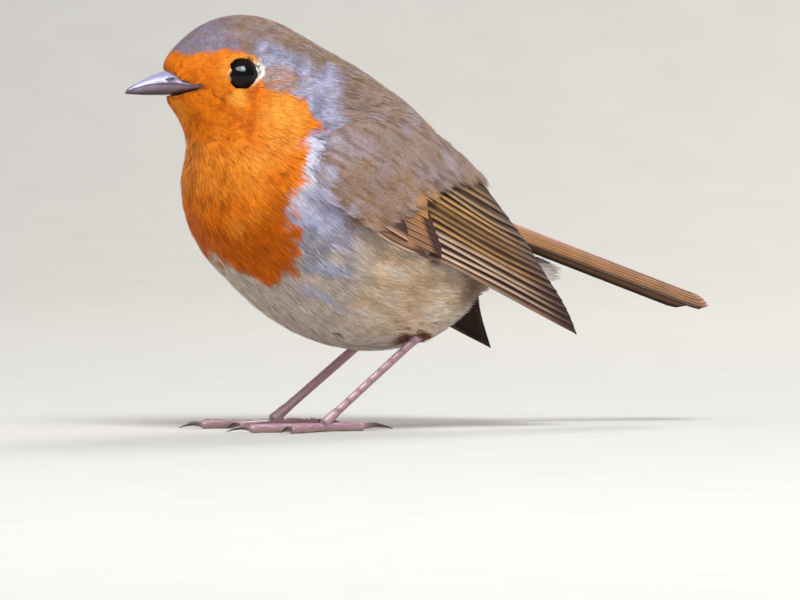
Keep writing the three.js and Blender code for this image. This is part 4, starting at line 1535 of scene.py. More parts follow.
@dataclass
class Wing:
    """A folded wing: its under plate, its long feathers and its coverts."""

    form: WingForm
    material: Material
    quills: int = 16
    rows: int = 34
    cinnamon = paint(200, 150, 92)
    blush = paint(220, 186, 160)
    straw = paint(196, 160, 116)
    earth = paint(140, 104, 72)
    sepia = paint(40, 24, 16)
    umber = paint(92, 64, 44)
    covert = paint(156, 114, 82)
    plum = paint(60, 38, 38)
    spot = paint(214, 152, 80)
    glow = (0.35, 1.0, 0.95, 0.9, 0.8, 0.95, 0.6, 0.4, 0.35, 0.9, 1.0, 0.8, 0.7, 0.6, 0.5, 0.35)

    def flight(self) -> list[Quill]:
        """The long feathers, from the lowest primary to the topmost tertial."""
        rear = self.form.rear.dense
        out = []
        for k in range(self.quills):
            z = np.interp(k, [0, 3, 6, 8, 10, 12, 14, 15], [17.5, 22.7, 28.0, 31.0, 33.9, 37.9, 42.4, 44.6])
            x = np.interp(-z, -rear[:, 2], rear[:, 0])
            root = (-12.0, 34.0 if k == 0 else 35.1 + 1.34 * k)
            sway = 0.16 * math.sin(2.4 * k + 0.7)
            path = [root, (-5.7, 32.5 + 1.32 * k + sway), (8.2, 26.6 + 1.2 * k - sway), (float(x), float(z))]
            if k > 12:
                path.pop(2)
            sort = Sort.PRIMARY if k < 5 else Sort.SECONDARY if k < 11 else Sort.TERTIAL
            out.append(Quill(sort, k, tuple(path), 5.5, -1.0 + 0.07 * k, 0.12 if k < 7 else 0.08))
        return out

    def coverts(self) -> list[Quill]:
        """The greater coverts over the roots of the long feathers, and the alula under them."""
        out = []
        for k in range(6):
            x = -6.0 - 0.55 * min(k, 5) + 0.7 * max(k - 5, 0)
            z = 33.3 + 1.45 * k
            path = ((x - 13.5, z + 6.0), (x - 6.5, z + 3.0), (x, z))
            out.append(Quill(Sort.COVERT, k, path, 2.9, 0.2 + 0.05 * k, 0.09))
        out.append(Quill(Sort.ALULA, 0, ((-25.5, 42.4), (-17.4, 36.5), (-9.0, 32.9)), 2.2, 0.55, 0.3))
        out.append(Quill(Sort.ALULA, 1, ((-26.0, 45.0), (-20.5, 40.6), (-13.6, 36.6)), 3.1, 0.75, 0.22))
        return out

    def _sheet(self, quill: Quill) -> tuple[Array, Array, Array, Array]:
        """The grid of a feather's upper side.

        Args:
            quill: The feather.

        Returns:
            Its points, its outward directions, and the millimetres across and the share along at each point.
        """
        across = np.array([0, 0.1, 0.3, 0.5, 0.7, 0.9, 1.1, 1.4, 2.2, 3.6, 5.5]) * max(quill.width / 5.5, 0.6)
        across = across * quill.width / across[-1]
        a = np.linspace(0, 1, self.rows) ** 0.9
        line = Curve([(x, 0.0, z) for x, z in quill.path]).at(a)
        ahead = unit(np.gradient(line, axis=0))
        over = np.stack([-ahead[:, 2], 0 * a, ahead[:, 0]], -1)
        close = np.clip((1 - a) / quill.pointed, 0, 1)
        width = 1 - (1 - close) ** 2.4
        reach = across[None, :] * width[:, None]
        spot = line[:, None] + over[:, None] * reach[..., None]
        s, t = self.form.find(spot[..., 0], spot[..., 2])
        out = self.form.normal(np.clip(s, 0.02, 0.98), np.clip(t, 0.03, 0.97))
        tilt = mix(0.2, -0.2, across / quill.width)
        rise = quill.height + tilt[None, :] + 0.04 * np.sin(a * 9 + quill.rank)[:, None]
        tuck = 0.3 if quill.sort in (Sort.COVERT, Sort.ALULA) else 0.2 if quill.rank > 10 else 0.03
        rise = rise - 1.2 * smooth(tuck, 0.0, a)[:, None]
        points = self.form.surface(s, t) + out * rise[..., None]
        return points, out, reach, np.broadcast_to(a[:, None], reach.shape)

    def _colours(self, quill: Quill, reach: Array, along: Array) -> Array:
        """The feather's colours: a pale outer edge, a brown web, a dark inside that is partly its own dark
        web and partly painted shadow of the feather over it, and a dark tip.
        """
        rng = np.random.default_rng(40 + quill.rank)
        if quill.sort is Sort.COVERT:
            web = mixed(self.covert, self.spot, 0.15 * quill.rank * smooth(0.45, 1.0, along))
            web = mixed(web, self.umber, 0.7 * smooth(0.9, 1.5, reach))
            web = mixed(web, self.umber, 0.4 * smooth(0.25, 0.5, reach) * smooth(0.75, 0.5, reach))
            dark = smooth(0.8, 0.92, along + 0.04 * reach) * (quill.rank < 5)
            return mixed(web, self.plum, 0.9 * dark)
        if quill.sort is Sort.ALULA:
            web = mixed(self.covert, self.blush, 0.6 * smooth(0.4, 0.2, reach))
            if quill.rank == 0:
                line = smooth(0.35, 0.5, reach) * smooth(0.95, 0.75, reach) * smooth(0.3, 0.5, along)
                return mixed(web, self.plum, 0.9 * np.maximum(line, smooth(0.75, 0.9, along)))
            return mixed(web, self.plum, 0.92 * smooth(0.6, 1.0, reach) * smooth(0.5, 0.62, along))
        edge = {Sort.PRIMARY: self.blush, Sort.SECONDARY: self.cinnamon, Sort.TERTIAL: self.straw}[quill.sort]
        glow = self.glow[quill.rank]
        dark = self.umber if quill.sort is Sort.TERTIAL and quill.rank > 13 else self.sepia
        web = mix(self.umber, edge, glow)
        web = mixed(web, self.earth, smooth(0.2, 0.5, reach) * mix(0.4, 1.0, along))
        fade = 0.25 if quill.sort is Sort.TERTIAL else 0.5
        web = mixed(web, self.umber, fade * smooth(0.3, 0.95, along))
        # the dark band inside the pale edge is partly the feather's own dark web and partly painted shadow of
        # the feather that lies over it
        web = mixed(web, dark, mix(0.6, 1.0, glow) * smooth(0.5, 0.75, reach + rng.uniform(-0.14, 0.06)))
        web = mixed(web, self.umber, 0.6 * smooth(1.6, 3.0, reach))
        tip = smooth(0.72, 0.98, along) * (0.9 if quill.sort is Sort.PRIMARY else 0.75)
        return mixed(web, self.plum, tip)

    def _add(self, gather: Gather, quill: Quill) -> None:
        """Adds one feather to the piece."""
        top, out, reach, along = self._sheet(quill)
        thick = np.full(reach.shape, 0.14)
        tint = self._colours(quill, reach, along).reshape(-1, 3)
        points, faces = blade(self.form.placed(top), self.form.turned(out), thick)
        across = np.broadcast_to(np.linspace(0, 1, reach.shape[1]), reach.shape)
        vane = np.stack([across, along], -1).reshape(-1, 2)
        # painted shade: the underside is a darker copy of the upper side's colours
        gather.add(points, faces, np.vstack([tint, tint * 0.6]), np.tile(vane, (2, 1)))

    def _under(self, gather: Gather) -> None:
        """Adds the plate of hidden feathers that closes the wing from the body's side."""
        s, t = np.meshgrid(np.linspace(0.3, 0.97, 40), np.linspace(0.1, 0.96, 14), indexing="ij")
        out = self.form.normal(s, t)
        top = self.form.surface(s, t) - out * 1.15
        thick = mix(0.9, 0.15, smooth(0.4, 1.0, s))
        points, faces = blade(self.form.placed(top), self.form.turned(out), thick)
        gather.add(points, faces, self.sepia, np.tile(np.stack([t, s], -1).reshape(-1, 2), (2, 1)))

    def made(self) -> list[Piece]:
        """Builds the wing's two pieces.

        Returns:
            The long feathers and the coverts.
        """
        name = self.form.side.name.lower()
        flight, coverts = Gather(), Gather()
        self._under(flight)
        for quill in self.flight():
            self._add(flight, quill)
        for quill in self.coverts():
            self._add(coverts, quill)
        made = [
            flight.made(f"wing_{name}_flight", self.material),
            coverts.made(f"wing_{name}_covert_feathers", self.material),
        ]
        return made


@dataclass
class Tail:
    """The closed tail: six feathers on each side, laid like a low roof."""

    material: Material
    root: tuple[float, float, float] = (6.0, 0.0, 43.6)
    tip: tuple[float, float, float] = (58.4, 0.0, 24.4)
    middle: tuple[float, float] = (1.6, 2.2)  # half width of the flat top, at root and tip
    side: tuple[float, float] = (3.9, 5.7)
    drop: tuple[float, float] = (3.4, 3.2)
    ends: tuple[float, ...] = (0.985, 0.994, 1.002, 1.008, 1.006, 0.984)
    feathers: int = 6
    pink = paint(168, 128, 106)
    warm = paint(158, 110, 66)
    peach = paint(212, 160, 118)
    brown = paint(122, 82, 56)
    # the colour of the painted shadow lines and of the painted shade on the tail's lower side
    dark = paint(46, 28, 20)

    def _roof(self, a: Array, q: Array) -> Array:
        """Points of the tail's upper side, a along it and q out from its middle."""
        line = mix(np.array(self.root), np.array(self.tip), a[..., None])
        half, out = mix(self.middle[0], self.middle[1], a), mix(self.side[0], self.side[1], a)
        fall = mix(self.drop[0], self.drop[1], a)
        y = np.where(q < 0.35, q / 0.35 * half, half + (q - 0.35) / 0.65 * (out - half))
        z = -fall * np.maximum(q - 0.2, 0) ** 1.15 / 0.8**1.15
        return line + np.stack([0 * y, y, z], -1)

    def _add(self, gather: Gather, rank: int, side: Side) -> None:
        """Adds one feather of a side, counted from the middle."""
        rows, columns = 30, 9
        a, w = np.meshgrid(np.linspace(0, 1, rows), np.linspace(0, 1, columns), indexing="ij")
        outer = 0.34 + 0.66 * rank / (self.feathers - 1)
        inner = max(outer - 0.62, -0.05)
        end = self.ends[rank]
        close = np.clip((1 - a) / 0.08, 0, 1)
        width = np.sqrt(np.clip(1 - (1 - close) ** 2, 0.0, 1))
        q = mix(inner + (outer - inner) * 0.55, mix(inner, outer, w), width)
        top = self._roof(a * end, np.maximum(q, 0.0)) - UP * (0.06 * rank)
        top[..., 1] += np.minimum(q, 0.0) * 4
        top = top * (1, side.value, 1)
        out = unit(np.stack([0.33 + 0 * q, side.value * smooth(0.2, 0.8, q) * 0.9, 0.9 + 0 * q], -1))
        web = mix(self.pink, self.warm, min(rank / 2.0, 1.0)) * (1.06, 1.0, 1.04, 1.0, 0.94, 0.85)[rank]
        tone = mixed(web, self.brown, 0.15 * smooth(0.8, 0.3, w) + 0.45 * smooth(0.3, 1.0, a))
        # painted shadow: dark lines along the feathers' outer edges, for the shadow at each overlapping edge
        line = (0.8 * smooth(0.4, 0.7, a), 0.0, 0.12, 0.0, 0.7 * smooth(0.2, 0.5, a), 0.9)[rank]
        tone = mixed(tone, self.dark, line * smooth(0.84, 0.95, w))
        tone = mixed(tone, self.peach, 0.6 * smooth(0.35, 0.1, a) * smooth(1.0, 0.8, w))
        # painted shade: the outermost feather's outer part is darker, for the shaded lower side of the tail
        outermost = float(rank == self.feathers - 1)
        tone = mixed(tone, self.dark, outermost * smooth(0.72, 0.86, w) * smooth(0.0, 0.2, a))
        points, faces = blade(top, out, np.full(q.shape, 0.05))
        vane = np.tile(np.stack([w, a], -1).reshape(-1, 2), (2, 1))
        tone = tone.reshape(-1, 3)
        # painted shade: the underside is a darker copy of the upper side's colours
        gather.add(points, faces, np.vstack([tone, tone * 0.7]), vane)

    def made(self) -> Piece:
        """Builds the tail as one piece."""
        gather = Gather()
        for side in Side:
            for rank in range(self.feathers):
                self._add(gather, rank, side)
        return gather.made("tail_feathers", self.material)


# ---- bill and eyes


@dataclass
class Bill:
    """The slim bill: two mandibles of horn that meet along the gape."""

    material: Material
    ahead: tuple[float, ...] = (5.0, 7.5, 9.0, 10.5, 12.4, 14.0, 16.0, 18.0, 20.0, 21.2, 21.7)
    half: tuple[float, ...] = (6.5, 6.7, 6.0, 5.1, 4.0, 2.8, 1.85, 1.22, 0.7, 0.34, 0.06)
    core: tuple[float, ...] = (5.5, 5.8, 5.3, 4.6, 3.7, 2.65, 1.8, 1.22, 0.7, 0.34, 0.06)
    ridge: tuple[float, ...] = (1.4, 1.6, 1.7, 1.6, 1.3, 1.0, 0.3, -0.6, -1.57, -2.3, -3.0)
    mouth: tuple[float, ...] = (-2.0, -1.95, -1.8, -1.65, -1.4, -1.35, -1.55, -1.85, -2.4, -2.85, -3.1)
    keel: tuple[float, ...] = (-2.4, -2.7, -3.0, -3.3, -3.5, -3.6, -3.6, -3.55, -3.45, -3.35, -3.25)
    # the paler colour painted on the top of the upper mandible, as a reflection of the sky
    pale = paint(158, 153, 190)
    mauve = paint(132, 110, 128)
    dark = paint(52, 40, 46)
    stations: int = 90
    around: int = 34

    def _rings(self, upper: bool) -> tuple[Array, Array, Array]:
        """Rings of one mandible, with their places ahead and round."""
        a = np.linspace(self.ahead[0], self.ahead[-1], self.stations)
        half = np.interp(a, self.ahead, self.half)
        core = np.interp(a, self.ahead, self.core)
        mouth = np.interp(a, self.ahead, self.mouth)
        edge = np.interp(a, self.ahead, self.ridge if upper else self.keel)
        turn = np.linspace(-math.pi / 2, math.pi / 2, self.around)
        side = np.sign(np.sin(turn)) * np.abs(np.sin(turn)) ** (0.8 if upper else 0.7)
        rise = np.abs(np.cos(turn)) ** (1.15 if upper else 0.9)
        lip_reach = (half - core)[:, None] * np.sin(turn) ** 11
        y = (core[:, None] * side + lip_reach) * (1.0 if upper else 0.95)
        z = mouth[:, None] + (edge - mouth)[:, None] * rise
        lip = -0.1 if upper else 0.02
        inner_y = y[:, ::-1][:, 1:-1] * 0.9
        inner_z = np.broadcast_to(mouth[:, None] + lip, inner_y.shape)
        y, z = np.hstack([y, inner_y]), np.hstack([z, inner_z])
        x = np.broadcast_to(a[:, None], y.shape)
        return np.stack([x, y, z], -1), x, rise

    def _nostril(self, place: Array) -> Array:
        """How deep each point lies in the nostril's slit."""
        ahead, up = place[..., 0] - 13.5, place[..., 2] + 0.55
        up = up + 0.25 * ahead
        return smooth(1.0, 0.45, np.hypot(ahead / 1.15, up / 0.36)) * (np.abs(place[..., 1]) > 1.2)

    def made(self) -> list[Piece]:
        """Builds both mandibles.

        Returns:
            The upper and the lower piece.
        """
        out = []
        for upper in (True, False):
            place, x, _ = self._rings(upper)
            slit = self._nostril(place) * upper
            place = place * (1 - np.stack([0 * slit, 0.14 * slit, 0 * slit], -1))
            mouth = np.interp(x, self.ahead, self.mouth)
            edge = np.interp(x, self.ahead, self.ridge if upper else self.keel)
            deep = np.where(np.abs(edge - mouth) < 0.05, 0.05, edge - mouth)
            level = np.clip((place[..., 2] - mouth) / deep, 0, 1)
            tone = np.broadcast_to(self.mauve, (*x.shape, 3))
            if upper:
                # painted reflection: the top of the upper mandible is painted paler, as the sky shines on it
                tone = mixed(tone, self.pale, smooth(0.12, 0.4, level))
                tone = mixed(tone, self.dark, 0.8 * smooth(0.16, 0.02, level) * smooth(11.0, 14.0, x))
            else:
                # painted shade: the lower mandible darkens towards its underside
                tone = mixed(tone, self.dark, 0.95 * smooth(0.25, 0.8, level))
            tone = mixed(tone, self.dark, 0.75 * smooth(19.2, 21.4, x))
            # painted shade: the nostril's slit is near black, for the shade inside it
            tone = mixed(tone, paint(16, 8, 12), slit)
            points, faces = tube(HEAD.out(place))
            middle = points[: place.shape[0] * place.shape[1]].reshape(place.shape)
            centre = middle.mean(1, keepdims=True)
            facing = np.cross(middle[40, 1] - middle[40, 0], middle[41, 0] - middle[40, 0])
            if facing @ (middle[40, 0] - centre[40, 0]) < 0:
                faces = flipped(faces)
            tint = np.vstack([tone.reshape(-1, 3), tone[0].mean(0), tone[-1].mean(0)])
            name = "bill_upper_horn" if upper else "bill_lower_horn"
            gather = Gather()
            gather.add(points, faces, tint, (0.5, 0.5))
            out.append(gather.made(name, self.material))
        return out


@dataclass
class Eyeball:
    """One eye: the wet ball, and the dark lids round it."""

    side: Side
    ball: Material
    lid: Material
    black = paint(8, 5, 7)
    iris = paint(20, 11, 9)
    rim = paint(30, 20, 22)
    shares = (1.0, 0.985, 1.0, 1.04, 1.09, 1.16, 1.44, 1.3)  # the lids' section, as shares of the opening
    rises = (-0.5, 0.0, 0.1, 0.14, 0.05, -0.1, -0.8, -1.3)  # and outward from its edge

    def _out(self, ahead: Array, beside: Array, up: Array) -> Array:
        """Points from places about the eye's middle."""
        place = np.stack([ahead + EYE.ahead, -self.side.value * (beside + EYE.beside), up + EYE.up], -1)
        return HEAD.out(place)

    def made_ball(self) -> Piece:
        """Builds the ball, whose front swells a little as the cornea does."""
        from_pole = np.linspace(0.02, math.pi - 0.02, 48)
        polar, turn = np.meshgrid(from_pole, np.linspace(0, 2 * math.pi, 64, endpoint=False), indexing="ij")
        swell = 1 + 0.035 * smooth(0.75, 0.0, polar)
        r = EYE.radius * swell
        off = r * np.sin(polar)
        rings = self._out(off * np.cos(turn), r * np.cos(polar), off * np.sin(turn))
        points, faces = tube(rings)
        if self.side is Side.RIGHT:
            faces = flipped(faces)
        wide = EYE.radius * np.sin(polar)
        tone = mixed(self.black, self.iris, smooth(1.5, 1.7, wide) * smooth(2.7, 2.3, wide))
        tint = np.vstack([tone.reshape(-1, 3), self.black, self.black])
        gather = Gather()
        gather.add(points, faces, tint, (0.5, 0.5))
        return gather.made(f"eyeball_{self.side.name.lower()}", self.ball)

    def made_lids(self, markings: Markings) -> Piece:
        """Builds the ring of the lids, which is a little wider than high and has two faint corners.

        Args:
            markings: The colours of the plumage, which the outer side of the lids takes.

        Returns:
            The piece.
        """
        turn = np.linspace(0, 2 * math.pi, 72, endpoint=False)
        corner = 1 + 0.07 * np.exp(-((((turn - 0.1) + math.pi) % (2 * math.pi) - math.pi) / 0.35) ** 2)
        corner = corner + 0.05 * np.exp(-(((turn - math.pi + 0.25) / 0.35) ** 2))
        rings = []
        for share, rise in zip(self.shares, self.rises):
            ahead = EYE.half_wide * share * corner * np.cos(turn)
            up = EYE.half_high * share * corner * np.sin(turn)
            plane = math.sqrt(EYE.radius**2 - 2.62**2) + rise
            rings.append(self._out(ahead, np.full(len(turn), plane), up))
        ring = np.stack(rings)
        rows, columns = ring.shape[:2]
        quads = grid_faces(rows, columns, wrap=True)
        i = np.arange(columns)
        j = (i + 1) % columns
        last = (rows - 1) * columns
        back = np.stack([last + i, last + j, j, i], -1)
        faces = [quads, back]
        if self.side is Side.LEFT:
            faces = flipped(faces)
        tint = np.broadcast_to(self.rim, ring.shape).copy()
        tint[5:] = markings.colour(ring[5:])
        tint = tint.reshape(-1, 3)
        gather = Gather()
        gather.add(ring.reshape(-1, 3), faces, tint, (0.5, 0.5))
        return gather.made(f"eyelids_{self.side.name.lower()}", self.lid)


# ---- legs


@dataclass(frozen=True)
class Toe:
    """One toe of a foot, turned from straight ahead towards the other foot."""

    name: str
    turn: float
    length: float
    claw: float
    thick: float


TOES = (
    Toe("inner", 30, 10.8, 4.2, 0.74),
    Toe("middle", 2, 15.2, 4.8, 0.8),
    Toe("outer", -34, 11.6, 4.0, 0.74),
    Toe("hind", 174, 8.8, 6.4, 0.86),
)


def swept(line: Array, wide: Array, high: Array, up: Array, around: int = 20) -> tuple[Array, list[Array]]:
    """A closed body along a line.

    Args:
        line: Points along its middle.
        wide: Its half width at each point.
        high: Its half height at each point.
        up: The direction that its height follows.
        around: How many points each ring has.

    Returns:
        Its points and outward faces.
    """
    ahead = unit(np.gradient(line, axis=0))
    side = unit(np.cross(up, ahead))
    over = np.cross(ahead, side)
    turn = np.linspace(0, 2 * math.pi, around, endpoint=False)
    beside = side[:, None] * (np.cos(turn) * wide[:, None])[..., None]
    above = over[:, None] * (np.sin(turn) * high[:, None])[..., None]
    return tube(line[:, None] + (beside + above))


@dataclass
class Leg:
    """One bare leg: shank, toes with pads, scutes down the front, and claws."""

    side: Side
    skin: Material
    horn: Material
    pink = paint(178, 142, 150)
    mauve = paint(168, 130, 138)
    pad = paint(186, 160, 142)
    claw_dark = paint(66, 46, 46)
    claw_pale = paint(140, 116, 112)

    def _toe_place(self, toe: Toe, reach: Array, height: Array) -> Array:
        """Points along a toe, by how far they reach from the foot and their height."""
        foot = LEG.placed(LEG.foot, self.side)
        angle = math.radians(toe.turn)
        inward = -self.side.value
        x = foot[0] - reach * math.cos(angle)
        y = foot[1] + inward * reach * math.sin(angle)
        return np.stack([x, y, height], -1)

    @staticmethod
    def _knobs(share: Array) -> Array:
        """How far the shank stands out at the joints on both its ends."""
        return 0.5 * np.exp(-((share / 0.1) ** 2)) + 0.4 * np.exp(-(((1 - share) / 0.1) ** 2))

    def _shank(self, gather: Gather, plates: list) -> None:
        """Adds the shank, with its knobs, and the places of its scutes."""
        hock, foot = LEG.placed(LEG.hock, self.side) + (0.6, 0, 1.2), LEG.placed(LEG.foot, self.side)
        t = np.linspace(0, 1, 40)
        line = mix(hock, foot, t[:, None])
        knob = self._knobs(t)
        forward = np.array([-0.75, 0, -0.66])
        front = unit(np.cross(np.cross(foot - hock, forward), foot - hock))
        points, faces = swept(line, 0.66 + 0.8 * knob, 0.88 + 0.7 * knob, np.broadcast_to(-front, line.shape))
        bands = smooth(0.2, 1.0, np.sin(points[:, 2] * 3.1) * 0.5 + 0.5)
        gather.add(points, faces, mixed(self.pink, self.mauve, bands * 0.4), (0.5, 0.5))
        for share in np.linspace(0.08, 0.93, 9):
            spot = mix(hock, foot, share)
            bump = 0.8 * self._knobs(share)
            plates.append((spot, unit(foot - hock), -front, 0.7 + bump, 0.92 + 0.8 * bump, 2.75))

    def _toe(self, gather: Gather, plates: list, toe: Toe) -> None:
        """Adds a toe with its pads, and the places of its scutes."""
        d = np.linspace(0.0, toe.length + 0.2, 44)
        share = d / toe.length
        low = toe.thick * mix(1.08, 0.98, share)
        line = self._toe_place(toe, d, low + 0.05)
        pads = 0.09 * np.cos(share * math.pi * 2 * (3 if toe.length > 10 else 2)) + 0.02
        end = np.sqrt(np.clip((1.03 - share) / 0.06, 0.05, 1))
        wide = toe.thick * (1.0 + pads) * end
        high = toe.thick * (0.98 + pads * 0.5) * end
        line[:, 2] = np.maximum(line[:, 2], high + 0.03)
        points, faces = swept(line, wide, high, np.broadcast_to(UP, line.shape))
        below = smooth(0.9, 0.3, points[:, 2] / toe.thick)
        gather.add(points, faces, mixed(self.mauve, self.pad, below * 0.7), (0.5, 0.5))
        count = int(toe.length / 1.05)
        ahead = unit(self._toe_place(toe, 1.0, 0.0) - self._toe_place(toe, 0.0, 0.0))
        for k in range(count):
            spot = self._toe_place(toe, 0.9 + k * (toe.length - 1.2) / count, toe.thick * 1.05)
            plates.append((spot, ahead, UP, toe.thick, toe.thick, 1.3))

    def _claw(self, gather: Gather, toe: Toe) -> None:
        """Adds the curved claw at the end of a toe."""
        t = np.linspace(0, 1, 26)
        reach = toe.length - 0.5 + (toe.claw + 0.5) * t
        height = np.interp(t, [0, 0.1, 0.42, 0.78, 1.0], [0.86, 0.95, 1.12, 0.74, 0.28])
        height = np.convolve(np.pad(height, 2, mode="edge"), np.ones(5) / 5, mode="valid")
        line = self._toe_place(toe, reach, height)
        size = toe.thick * 0.62 * (1 - t**1.5) + 0.06
        points, faces = swept(line, size * 0.75, size, np.broadcast_to(UP, line.shape), 14)
        far = np.append(np.repeat(t, 14), [0.0, 1.0])
        tone = mixed(self.claw_pale, self.claw_dark, smooth(0.0, 0.6, far))
        gather.add(points, faces, tone, (0.5, 0.5))

    def made(self, scutes: "Scutes") -> list[Piece]:
        """Builds the leg's pieces.

        Args:
            scutes: Lays the plates down the front of the leg.

        Returns:
            The skin of shank and toes, the scutes, and the claws.
        """
        name = self.side.name.lower()
        flesh, claws, plates = Gather(), Gather(), []
        self._shank(flesh, plates)
        for toe in TOES:
            self._toe(flesh, plates, toe)
            self._claw(claws, toe)
        return [
            flesh.made(f"leg_{name}", self.skin),
            scutes.laid(f"scutes_{name}", plates, self.skin, self.pink),
            claws.made(f"claws_{name}", self.horn),
        ]


class Scutes:
    """Lays horny plates along the leg with one tree of Geometry Nodes."""

    def __init__(self) -> None:
        """Builds the tree and the plate that it repeats."""
        self.plate = self._plate()
        self.tree = self._tree()

    @staticmethod
    def _plate() -> Piece:
        """A unit plate, which wraps the front of a shank and laps over the next one."""
        v, turn = np.meshgrid(np.linspace(0, 1, 4), np.linspace(-1.25, 1.25, 9), indexing="ij")
        lift = 1.0 + 0.012 * np.sin(v * math.pi) + 0.015 * v
        rise = np.cos(turn) * lift
        top = np.stack([(v - 0.5) * 1.08, np.sin(turn) * lift, rise], -1)
        out = unit(top * (0, 1, 1))
        points, faces = blade(top, out, np.full(v.shape, 0.16))
        gather = Gather()
        gather.add(points / MM + BOX_MIDDLE, faces, (1, 1, 1), (0.5, 0.5))
        plate = gather.made("scute_plate", bpy.data.materials.new("Unset scute"))
        bpy.context.scene.collection.objects.unlink(plate)
        return plate

    @staticmethod
    def _tree() -> bpy.types.NodeTree:
        """The tree: a plate on every point, turned and sized by the point, then made real."""
        inputs = {"Places": "Geometry", "Plate": "Object", "Finish": "Material", "Thickness": "Float"}
        nodes, given, result = group("Scute row", inputs, {"Scutes": "Geometry"}, "GeometryNodeTree")
        plate = nodes.add("GeometryNodeObjectInfo", Object=given.outputs["Plate"])
        named = "GeometryNodeInputNamedAttribute"
        turn = nodes.add(named, data_type="FLOAT_VECTOR", Name="Turn")
        size = nodes.add(named, data_type="FLOAT_VECTOR", Name="Size")
        laid = nodes.add(
            "GeometryNodeInstanceOnPoints",
            Points=given.outputs["Places"],
            Instance=plate.outputs["Geometry"],
            Rotation=turn.outputs["Attribute"],
            Scale=nodes.scaled(size.outputs["Attribute"], given.outputs["Thickness"]),
        )
        real = nodes.add("GeometryNodeRealizeInstances", Geometry=laid.outputs["Instances"])
        dress = nodes.add("GeometryNodeSetMaterial", Geometry=real.outputs["Geometry"])
        nodes.set(dress.inputs["Material"], given.outputs["Finish"])
        nodes.set(result.inputs["Scutes"], dress.outputs["Geometry"])
        return nodes.tree

    def laid(self, name: str, plates: list, material: Material, tint: Array) -> Piece:
        """Lays plates and makes them real.

        Args:
            name: The piece's name.
            plates: For each plate its place, its direction, the direction it faces, and three sizes.
            material: Its finish.
            tint: Its colour.

        Returns:
            One plain mesh of all the plates.
        """
        mesh = bpy.data.meshes.new(name)
        spots = [(spot - BOX_MIDDLE) * MM for spot, *_ in plates]
        mesh.from_pydata([tuple(spot) for spot in spots], [], [])
        turns, sizes = [], []
        for _, ahead, out, wide, high, length in plates:
            side = unit(np.cross(out, ahead))
            over = np.cross(ahead, side)
            turns.extend(Matrix(np.stack([ahead, side, over], 1).tolist()).to_euler())
            sizes.extend((length * MM, wide * MM, high * MM))
        mesh.attributes.new("Turn", "FLOAT_VECTOR", "POINT").data.foreach_set("vector", turns)
        mesh.attributes.new("Size", "FLOAT_VECTOR", "POINT").data.foreach_set("vector", sizes)
        carrier = bpy.data.objects.new(f"{name}_places", mesh)
        bpy.context.scene.collection.objects.link(carrier)
        modifier = carrier.modifiers.new("Scute row", "NODES")
        modifier.node_group = self.tree
        values = {"Plate": self.plate, "Finish": material, "Thickness": 1.0}
        for item in self.tree.interface.items_tree:
            if item.in_out == "INPUT" and item.name in values:
                modifier[item.identifier] = values[item.name]
        evaluated = carrier.evaluated_get(bpy.context.evaluated_depsgraph_get())
        real = bpy.data.meshes.new_from_object(evaluated)
        carrier.modifiers.remove(modifier)
        bpy.data.objects.remove(carrier)
        colours = real.color_attributes
        layer = colours.get("Plumage") or colours.new("Plumage", "FLOAT_COLOR", "POINT")
        rgba = np.tile([*tint, 1.0], len(layer.data))
        layer.data.foreach_set("color", rgba)
        real.polygons.foreach_set("use_smooth", np.ones(len(real.polygons), bool))
        piece = bpy.data.objects.new(name, real)
        bpy.context.scene.collection.objects.link(piece)
        log.info("%s: %d plates", name, len(plates))
        return piece


# ---- finishes


class Nodes:
    """A short hand for adding and joining the nodes of a tree."""

    def __init__(self, tree: bpy.types.NodeTree) -> None:
        """Takes an empty tree."""
        self.tree = tree

    def add(self, kind: str, **values: object) -> bpy.types.Node:
        """Adds a node.

        Args:
            kind: The node's type.
            **values: Its settings, and the values or the sources of its inputs by name, with _ for a space.

        Returns:
            The node.
        """
        node = self.tree.nodes.new(kind)
        for name, value in values.items():
            if name in node.bl_rna.properties:
                setattr(node, name, value)
        for name, value in values.items():
            if name not in node.bl_rna.properties:
                self.set(node.inputs[name.replace("_", " ")], value)
        return node

    def set(self, socket: Socket, value: object) -> None:
        """Joins a socket to another, or gives it a value."""
        if isinstance(value, Socket):
            self.tree.links.new(value, socket)
        else:
            socket.default_value = value

    def maths(self, operation: str, *inputs: object) -> Socket:
        """The result of a sum on values or sources."""
        node = self.tree.nodes.new("ShaderNodeMath")
        node.operation = operation
        for socket, value in zip(node.inputs, inputs):
            self.set(socket, value)
        return node.outputs[0]

    def ranged(self, value: object, *limits: float) -> Socket:
        """A value moved from one range to another: from low, from high, to low, to high."""
        node = self.tree.nodes.new("ShaderNodeMapRange")
        for socket, item in zip(node.inputs, (value, *limits)):
            self.set(socket, item)
        return node.outputs[0]

    def scaled(self, vector: object, scale: object) -> Socket:
        """A colour or a vector made larger or smaller by a value."""
        node = self.tree.nodes.new("ShaderNodeVectorMath")
        node.operation = "SCALE"
        self.set(node.inputs[0], vector)
        self.set(node.inputs["Scale"], scale)
        return node.outputs[0]


def group(name: str, inputs: dict, outputs: dict, kind: str = "ShaderNodeTree") -> tuple:
    """An empty group of nodes with its sockets.

    Args:
        name: The group's name.
        inputs: The kind of each input, by name.
        outputs: The kind of each output, by name.
        kind: The kind of tree.

    Returns:
        Its nodes, its input node and its output node.
    """
    tree = bpy.data.node_groups.new(name, kind)
    for way, sockets in (("INPUT", inputs), ("OUTPUT", outputs)):
        for label, carries in sockets.items():
            tree.interface.new_socket(label, in_out=way, socket_type=f"NodeSocket{carries}")
    nodes = Nodes(tree)
    return nodes, nodes.add("NodeGroupInput"), nodes.add("NodeGroupOutput")


